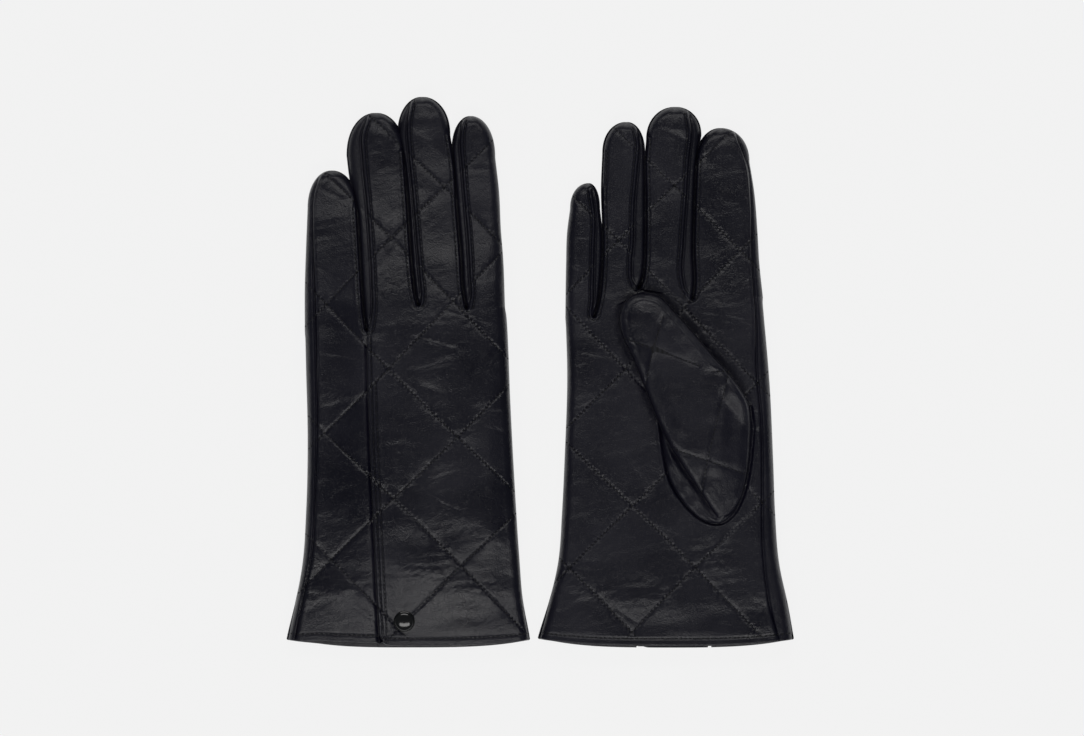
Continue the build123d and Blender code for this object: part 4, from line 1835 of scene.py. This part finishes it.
    def open_vent(self, points: np.ndarray, margin: float) -> list[np.ndarray]:
        """A sleeve of an inner layer without the part that the flap covers.

        Args:
            points: rows, loop columns, xyz.
            margin: how far past the flap the part reaches.

        Returns:
            Grids that leave the flap free.
        """
        loop = points.shape[1] - 1
        half = loop // 2
        back = slice(0, half + 1) if self.relief.is_back(True) else slice(half, loop + 1)
        other = slice(half, loop + 1) if self.relief.is_back(True) else slice(0, half + 1)
        grids = [points[:, other]]
        face = points[:, back]
        x, y = face[..., 0], face[..., 1]
        vent_x = self.pattern.vent_line(y)
        flap_top = self.pattern.flap_top
        fold_x = vent_x + self.pattern.flap_width * (1 - y / flap_top)
        covered = (x > vent_x - margin) & (x < fold_x + margin) & (y < flap_top)
        for row in range(face.shape[0] - 1):
            keep = ~(covered[row] | covered[row + 1])
            runs = np.flatnonzero(np.diff(np.concatenate([[0], keep.astype(int), [0]])))
            for first, last in zip(runs[::2], runs[1::2]):
                if last - first > 1:
                    grids.append(face[row : row + 2, first:last])
        return grids

    def build_hand(self) -> None:
        """Makes the panels of the hand, its turned hem and its lining."""
        p, n, a = self.pattern, self.finger_columns, self.strip_columns
        loop = 8 * n
        points = self.hand_sleeve(Layer.LEATHER, self.hand_rows)
        ring = np.concatenate([points, points[:, 1:]], axis=1)
        if p.face is Face.BACK_UP:
            spans = {
                "back": (n, 4 * n + self.hidden_strip),
                "palm": (4 * n + self.hidden_strip, loop + a),
                "side": (a, n),
            }
        else:
            spans = {
                "back": (4 * n - a, loop - n),
                "palm": (loop - self.hidden_strip, loop + 4 * n - a),
                "side": (loop - n, loop - self.hidden_strip),
            }
        for part, (first, last) in spans.items():
            grids = [ring[:, first : last + 1]]
            if part == "back":
                grids = [self.round_corner(grids[0])]
            if part == "side":
                grids += self.underlap()
            obj = self.maker.grids(f"{p.name}_{part}_panel_skin", grids, self.finishes.nappa)
            if part == "back":
                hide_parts(f"{p.name}_back_panel", f"{p.name}_cuff_flap")
                self.bend_flap(obj)
            else:
                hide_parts(f"{p.name}_{part}_panel")
                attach(obj, f"{p.name}_hand")
            log.info("%s: %d faces", obj.name, len(obj.data.polygons))
        inner = self.hand_sleeve(Layer.TURNED_HEM, self.hem_rows)
        rolled = [grid[:, ::-1] for grid in self.open_vent(self.hem_roll(points, inner), 0.6)]
        hem = self.maker.grids(f"{p.name}_cuff_hem_turned", rolled, self.finishes.nappa)
        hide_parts(f"{p.name}_cuff_hem")
        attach(hem, f"{p.name}_hand")
        sleeve = self.hand_sleeve(Layer.KNIT, self.lining_rows, self.lining_start)
        lining = [grid[:, ::-1] for grid in self.open_vent(sleeve, 2.0)]
        knit = self.maker.grids(f"{p.name}_hand_lining_knit", lining, self.finishes.knit)
        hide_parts(f"{p.name}_hand_lining")
        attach(knit, f"{p.name}_hand")

    def hem_roll(self, outer: np.ndarray, inner: np.ndarray) -> np.ndarray:
        """Rounded edge from the leather's mouth into the turned hem.

        Args:
            outer: the leather's sleeve.
            inner: the turned hem's sleeve.

        Returns:
            Rows, loop columns, xyz, from the mouth inwards.
        """
        start, end = outer[0], inner[0]
        rows = []
        for t in np.linspace(0, 1, 8):
            point = start + (end - start) * (1 - math.cos(math.pi * t)) / 2
            rows.append(point - np.array([0, self.hem_roll_size * math.sin(math.pi * t), 0]))
        inside = inner[(inner[:, :, 1].mean(axis=1) < self.hem_turn)]
        return np.concatenate([np.array(rows), inside[1:]])

    def back_sheet(self, u: np.ndarray, v: np.ndarray, below: np.ndarray, margin: float) -> np.ndarray:
        """Points under the flap at a depth below the back's outer face.

        Args:
            u: 0 at the vent's edge and 1 at the fold.
            v: 0 at the top of the vent and 1 at the hem.
            below: depth below the outer face.
            margin: distance to stay short of the fold.

        Returns:
            Grid of xyz.
        """
        p = self.pattern
        y = p.flap_top * (1 - v) + 0 * u
        x = p.vent_line(y) + u * np.maximum(p.flap_width * v - margin, 0.0)
        y = y + p.hem_line(x) * p.hem_share(y)
        if not self.relief.is_back(True):
            y = y - p.hem_drop(x, y)
        depth, rest = self.relief.depth(y), self.relief.rest_height(x, y)
        z = rest + depth - below if self.relief.is_back(True) else rest + below
        return np.stack([x, y, z], axis=-1)

    def underlap(self) -> list[np.ndarray]:
        """The side panel's tongue under the flap, with its face, underside and riser."""
        v, u = np.meshgrid(np.linspace(0.02, 1, 40), np.linspace(0, 1, 30), indexing="ij")
        face = self.back_sheet(u, v, self.lap_face + 0 * u, self.lap_margin)
        under = self.back_sheet(u, v, self.lap_back + 0 * u, self.lap_margin)
        edge_v, edge_u = np.meshgrid(np.linspace(0.02, 1, 40), np.zeros(8), indexing="ij")
        below = np.linspace(0.4, self.lap_face, 8)[None, :] + 0 * edge_u
        riser = self.back_sheet(edge_u, edge_v, below, self.lap_margin)
        ends = [np.stack([face[:, -1], under[:, -1]], axis=1), np.stack([under[-1], face[-1]], axis=1)]
        grids = [face, under[:, ::-1], riser, *ends]
        return [g[:, ::-1] for g in grids] if self.relief.is_back(True) else grids

    def build_flap(self) -> None:
        """Makes the inner face of the flap, the fastener's cap and the finish of its hidden parts."""
        p = self.pattern
        dense = 1 - np.linspace(1, 0, 90) ** 2.2
        v, u = np.meshgrid(dense, np.linspace(0, 1, 70) ** 2.2, indexing="ij")
        flat = self.back_sheet(u, v, 0 * u, 0.0)
        from_vent = flat[..., 0] - p.vent_line(flat[..., 1])
        from_hem = flat[..., 1] - flat[-1:, :, 1]
        turn = np.clip(np.minimum(from_vent, from_hem) / self.facing_turn, 0, 1)
        raised = self.relief.lap(from_vent)
        inner = self.back_sheet(u, v, self.facing_depth * smooth(turn) - raised * (1 - smooth(turn)), 0.0)
        inner[..., 1] -= np.sin(math.pi * turn) * (from_hem < from_vent)
        inner[..., 0] -= 0.4 * np.sin(math.pi * turn) * (from_hem >= from_vent)
        inner = self.round_corner(inner)
        if not self.relief.is_back(True):
            inner = inner[:, ::-1]
        facing = self.maker.grids(f"{p.name}_flap_facing", [inner], self.finishes.nappa)
        self.bend_flap(facing)
        self.build_cap()
        for part in ("snap_socket", "snap_stud", "snap_post"):
            node = frame["nodes"][f"{p.name}_{part}"]
            node.data.materials.clear()
            node.data.materials.append(self.finishes.nickel)

    def flap_joint(self) -> tuple[Vector, Vector, Vector]:
        """A point of the fold, its direction and the normal of the cuff's back face."""
        joint = next(j for j in frame["joints"] if j["name"] == f"{self.pattern.name}_flap_fold")
        along = Vector(joint["axis"])
        normal = Vector((1, 0, 0)).cross(along).normalized()
        if (normal.z > 0) != self.relief.is_back(True):
            normal.negate()
        return Vector(joint["pos_m"]), along, normal

    def build_cap(self) -> None:
        """Makes the domed cap of the press fastener."""
        p = self.pattern
        point, _, normal = self.flap_joint()
        low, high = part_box(f"{p.name}_snap_cap")
        centre = (low + high) / 2
        centre.z = point.z - normal.y / normal.z * (centre.y - point.y)
        turn = normal.to_track_quat("Z", "Y").to_matrix()
        profile = [(4.1, -0.15), (4.55, -0.1), (4.75, 0.12), (4.75, 0.34)]
        profile += [(4.62, 0.52), (4.42, 0.6), (4.3, 0.66)]
        angle = np.linspace(0, math.pi / 2, 14)
        rounded = [(4.24 * math.cos(a), 0.72 + 1.46 * math.sin(a)) for a in angle]
        ring = np.array(profile + rounded)
        around = np.linspace(0, 2 * math.pi, 73)[:-1]
        around = np.append(around, around[0])
        r, h = ring[:, 0][:, None], ring[:, 1][:, None]
        points = np.stack([r * np.cos(around), r * np.sin(around), h + 0 * around], axis=-1)
        points[-1] = points[-1].mean(axis=0)
        points = points @ np.array(turn).T + np.array(centre) / MM - self.maker.origin
        cap = self.maker.grids(f"{p.name}_snap_cap_dome", [points], self.finishes.enamel)
        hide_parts(f"{p.name}_snap_cap")
        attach(cap, f"{p.name}_flap")

    def bend_flap(self, obj: bpy.types.Object) -> None:
        """Bakes the world placement of a piece of the back panel into its mesh.

        Args:
            obj: a piece of the back panel.
        """
        middle, along, _ = self.flap_joint()
        low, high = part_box(f"{self.pattern.name}_snap_cap")
        towards = (low + high) / 2 - middle
        towards -= along * towards.dot(along)
        towards.normalize()
        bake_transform(obj)

    def rows_of_thread(self) -> list[np.ndarray]:
        """Plan lines of every visible row of stitches on the upper side."""
        p = self.pattern
        lines = []
        diagonal = np.arange(-40.0, 300.0, 0.6)
        for number, offset in enumerate(p.quilt_falling):
            across = offset + quilt_wander(diagonal, FALLING_SEED + number)
            lines.append(np.stack([(across - diagonal) / 2, (across + diagonal) / 2], axis=1))
        for number, offset in enumerate(p.quilt_rising):
            across = offset + quilt_wander(diagonal, RISING_SEED + number)
            lines.append(np.stack([(diagonal - across) / 2, (diagonal + across) / 2], axis=1))
        return lines

    def edge_rows(self) -> list[np.ndarray]:
        """Rows of stitches beside the slits, the hem and the vent."""
        p = self.pattern
        away = self.relief.rim_row + THREAD_SHIFT
        lines = [resample(offset_line(p.slit(k), away), np.linspace(0, 1, 260)) for k in range(3)]
        x = np.arange(-57.0, 57.0, 0.7)
        lines.append(np.stack([x, p.hem_line(x) + self.relief.hem_row], axis=1))
        if p.face is Face.BACK_UP:
            for row, top in zip(self.relief.vent_rows, (138.0, p.vent_closed_y)):
                y = np.arange(p.vent_corner + 2.4, top, 0.7)
                lines.append(np.stack([p.vent_line(y) + row + THREAD_SHIFT, y], axis=1))
        return lines

    def pieces_of(self, line: np.ndarray, clearance: float) -> list[tuple[int, np.ndarray]]:
        """Cuts a plan line into runs that each lie on one piece, and lifts them onto the leather.

        Args:
            line: plan corners.
            clearance: least distance from the outline.

        Returns:
            Number of the finger (or -1, or -2 for the side panel) and the run's xyz.
        """
        p, r = self.pattern, self.relief
        x, y = line[:, 0], line[:, 1]
        number = p.finger_at(x, y)
        z = np.zeros(len(x))
        good = np.zeros(len(x), bool)
        for k in range(-1, 4):
            mask = number == k
            if not mask.any():
                continue
            share = r.fullness(x[mask], y[mask], k, 0.0)
            z[mask] = r.height(x[mask], y[mask], k, True)
            inside = (share > clearance) & (y[mask] > p.hem_line(x[mask]) + 1.0)
            if k < 0:
                inside &= x[mask] > SmoothCurve(p.left_edge)(y[mask])
                inside &= x[mask] < SmoothCurve(p.right_edge)(y[mask])
            else:
                finger = p.fingers[k]
                inside &= (x[mask] > finger.edge(0, y[mask])) & (x[mask] < finger.edge(1, y[mask]))
                seam = SmoothCurve(finger.seam)(y[mask])
                s = x[mask] - seam if p.strip_side == 0 else seam - x[mask]
                inside &= (s > 0.5) | (k == p.outer_strip_finger)
            good[mask] = inside
        if p.face is Face.BACK_UP:
            side = (number == -1) & (x < p.vent_line(y))
            good &= ~((number == -1) & (np.abs(x - p.vent_line(y)) < 0.7))
            number = np.where(side, -2, number)
        else:
            good &= distance_to(x, y, np.array(r.thumb.cover)) > r.thumb.cover_reach
        key = np.where(good, number, -9)
        cuts = np.flatnonzero(np.diff(key)) + 1
        runs = []
        for part in np.split(np.arange(len(x)), cuts):
            if key[part[0]] > -9 and len(part) > 3:
                run = np.stack([x[part], y[part], z[part] + THREAD_RISE], axis=1)
                runs.append((int(key[part[0]]), run))
        return runs

    def sew(self) -> None:
        """Sews every visible row of stitches, one piece for each part of the glove."""
        p = self.pattern
        sewn: dict[tuple[str, int], list[np.ndarray]] = {}
        rows = (("quilt", self.rows_of_thread(), 0.35), ("edge", self.edge_rows(), 0.5))
        for kind, lines, clearance in rows:
            for line in lines:
                for number, run in self.pieces_of(line, clearance):
                    sewn.setdefault((kind, number), []).append((run + self.maker.origin) * MM)
        for (kind, number), lines in sewn.items():
            part = {-2: "side", -1: "hand"}.get(number) or p.fingers[number].name
            length = 0.0007 if kind == "quilt" else 0.00075
            obj = self.stitches.sew(f"{p.name}_{part}_{kind}_stitches", lines, length)
            if number >= 0:
                self.bend_finger(obj, part)
            elif number == -1 and p.face is Face.BACK_UP:
                self.bend_flap(obj)
            else:
                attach(obj, f"{p.name}_hand")


# ---------------------------------------------------------------------------------------------
# Studio
# ---------------------------------------------------------------------------------------------


@dataclass(frozen=True)
class SoftBox:
    """A soft rectangular light: where it stands and its size in metres, and its power in watts."""

    name: str
    place: tuple[float, float, float]
    power: float
    size: tuple[float, float] = (1.3, 0.4)
    colour: tuple[float, float, float] = (1.0, 0.985, 0.97)

    def build(self) -> None:
        """Makes the light, facing the gloves."""
        data = bpy.data.lights.new(self.name, "AREA")
        data.shape = "RECTANGLE"
        data.size, data.size_y = self.size
        data.energy = self.power
        data.color = self.colour
        light = bpy.data.objects.new(self.name, data)
        light.location = self.place
        light.rotation_euler = (-Vector(self.place)).to_track_quat("-Z", "Y").to_euler()
        bpy.context.scene.collection.objects.link(light)


@dataclass
class Studio:
    """Camera straight above, pale floor and soft lights."""

    frame_width: float = 0.4878
    sensor_width: float = 36.0
    camera_height: float = 6.0
    view_end: float = 20.0
    centre: tuple[float, float] = (0.0002, 0.0009)
    floor_size: float = 3.0
    floor_z: float = -0.0002
    floor_grey: float = 0.06
    floor_glow: float = 0.86
    sky: tuple[float, float, float] = (0.9, 0.95, 1)
    sky_strength: float = 0.11
    boxes: tuple[SoftBox, ...] = (
        SoftBox("upper_box", (0.0, 0.82, 1.2), 4.3),
        SoftBox("lower_box", (0.0, -0.86, 1.2), 5.6),
    )

    def camera(self) -> None:
        """Makes the camera."""
        data = bpy.data.cameras.new("camera")
        data.sensor_width = self.sensor_width
        data.lens = self.sensor_width * self.camera_height / self.frame_width
        data.clip_end = self.view_end
        camera = bpy.data.objects.new("camera", data)
        camera.location = (*self.centre, self.camera_height)
        bpy.context.scene.collection.objects.link(camera)
        bpy.context.scene.camera = camera
        bpy.context.scene.view_settings.view_transform = "Standard"

    def floor(self) -> None:
        """Makes the pale floor."""
        s, z = self.floor_size, self.floor_z
        mesh = bpy.data.meshes.new("floor")
        mesh.from_pydata([(-s, -s, z), (s, -s, z), (s, s, z), (-s, s, z)], [], [(0, 1, 2, 3)])
        floor = bpy.data.objects.new("floor", mesh)
        bpy.context.scene.collection.objects.link(floor)
        t = NodeTree("floor")
        t.shader.inputs["Base Color"].default_value = (*[self.floor_grey] * 3, 1)
        t.shader.inputs["Roughness"].default_value = 0.95
        t.shader.inputs["Specular IOR Level"].default_value = 0.0
        t.shader.inputs["Emission Color"].default_value = (1, 1, 1, 1)
        t.shader.inputs["Emission Strength"].default_value = self.floor_glow
        mesh.materials.append(t.material)

    def build(self) -> None:
        """Makes the floor and the lights."""
        self.floor()
        for box in self.boxes:
            box.build()
        world = bpy.data.worlds.new("studio")
        world.use_nodes = True
        background = world.node_tree.nodes["Background"]
        background.inputs[0].default_value = (*self.sky, 1)
        background.inputs[1].default_value = self.sky_strength
        bpy.context.scene.world = world


def main() -> None:
    """Builds the studio and both gloves."""
    logging.basicConfig(level=logging.INFO, format="%(name)s %(message)s")
    studio = Studio()
    studio.camera()
    studio.build()
    finishes = Finishes()
    stitches = StitchTree(finishes.thread)
    for pattern in (LEFT_GLOVE, RIGHT_GLOVE):
        relief, maker = Relief(pattern, ThumbPattern()), MeshMaker(pattern)
        GloveShell(pattern, finishes, relief, maker, stitches).build()
        Thumb(pattern, finishes, relief, maker, stitches).build()


if __name__ == "__main__":
    main()
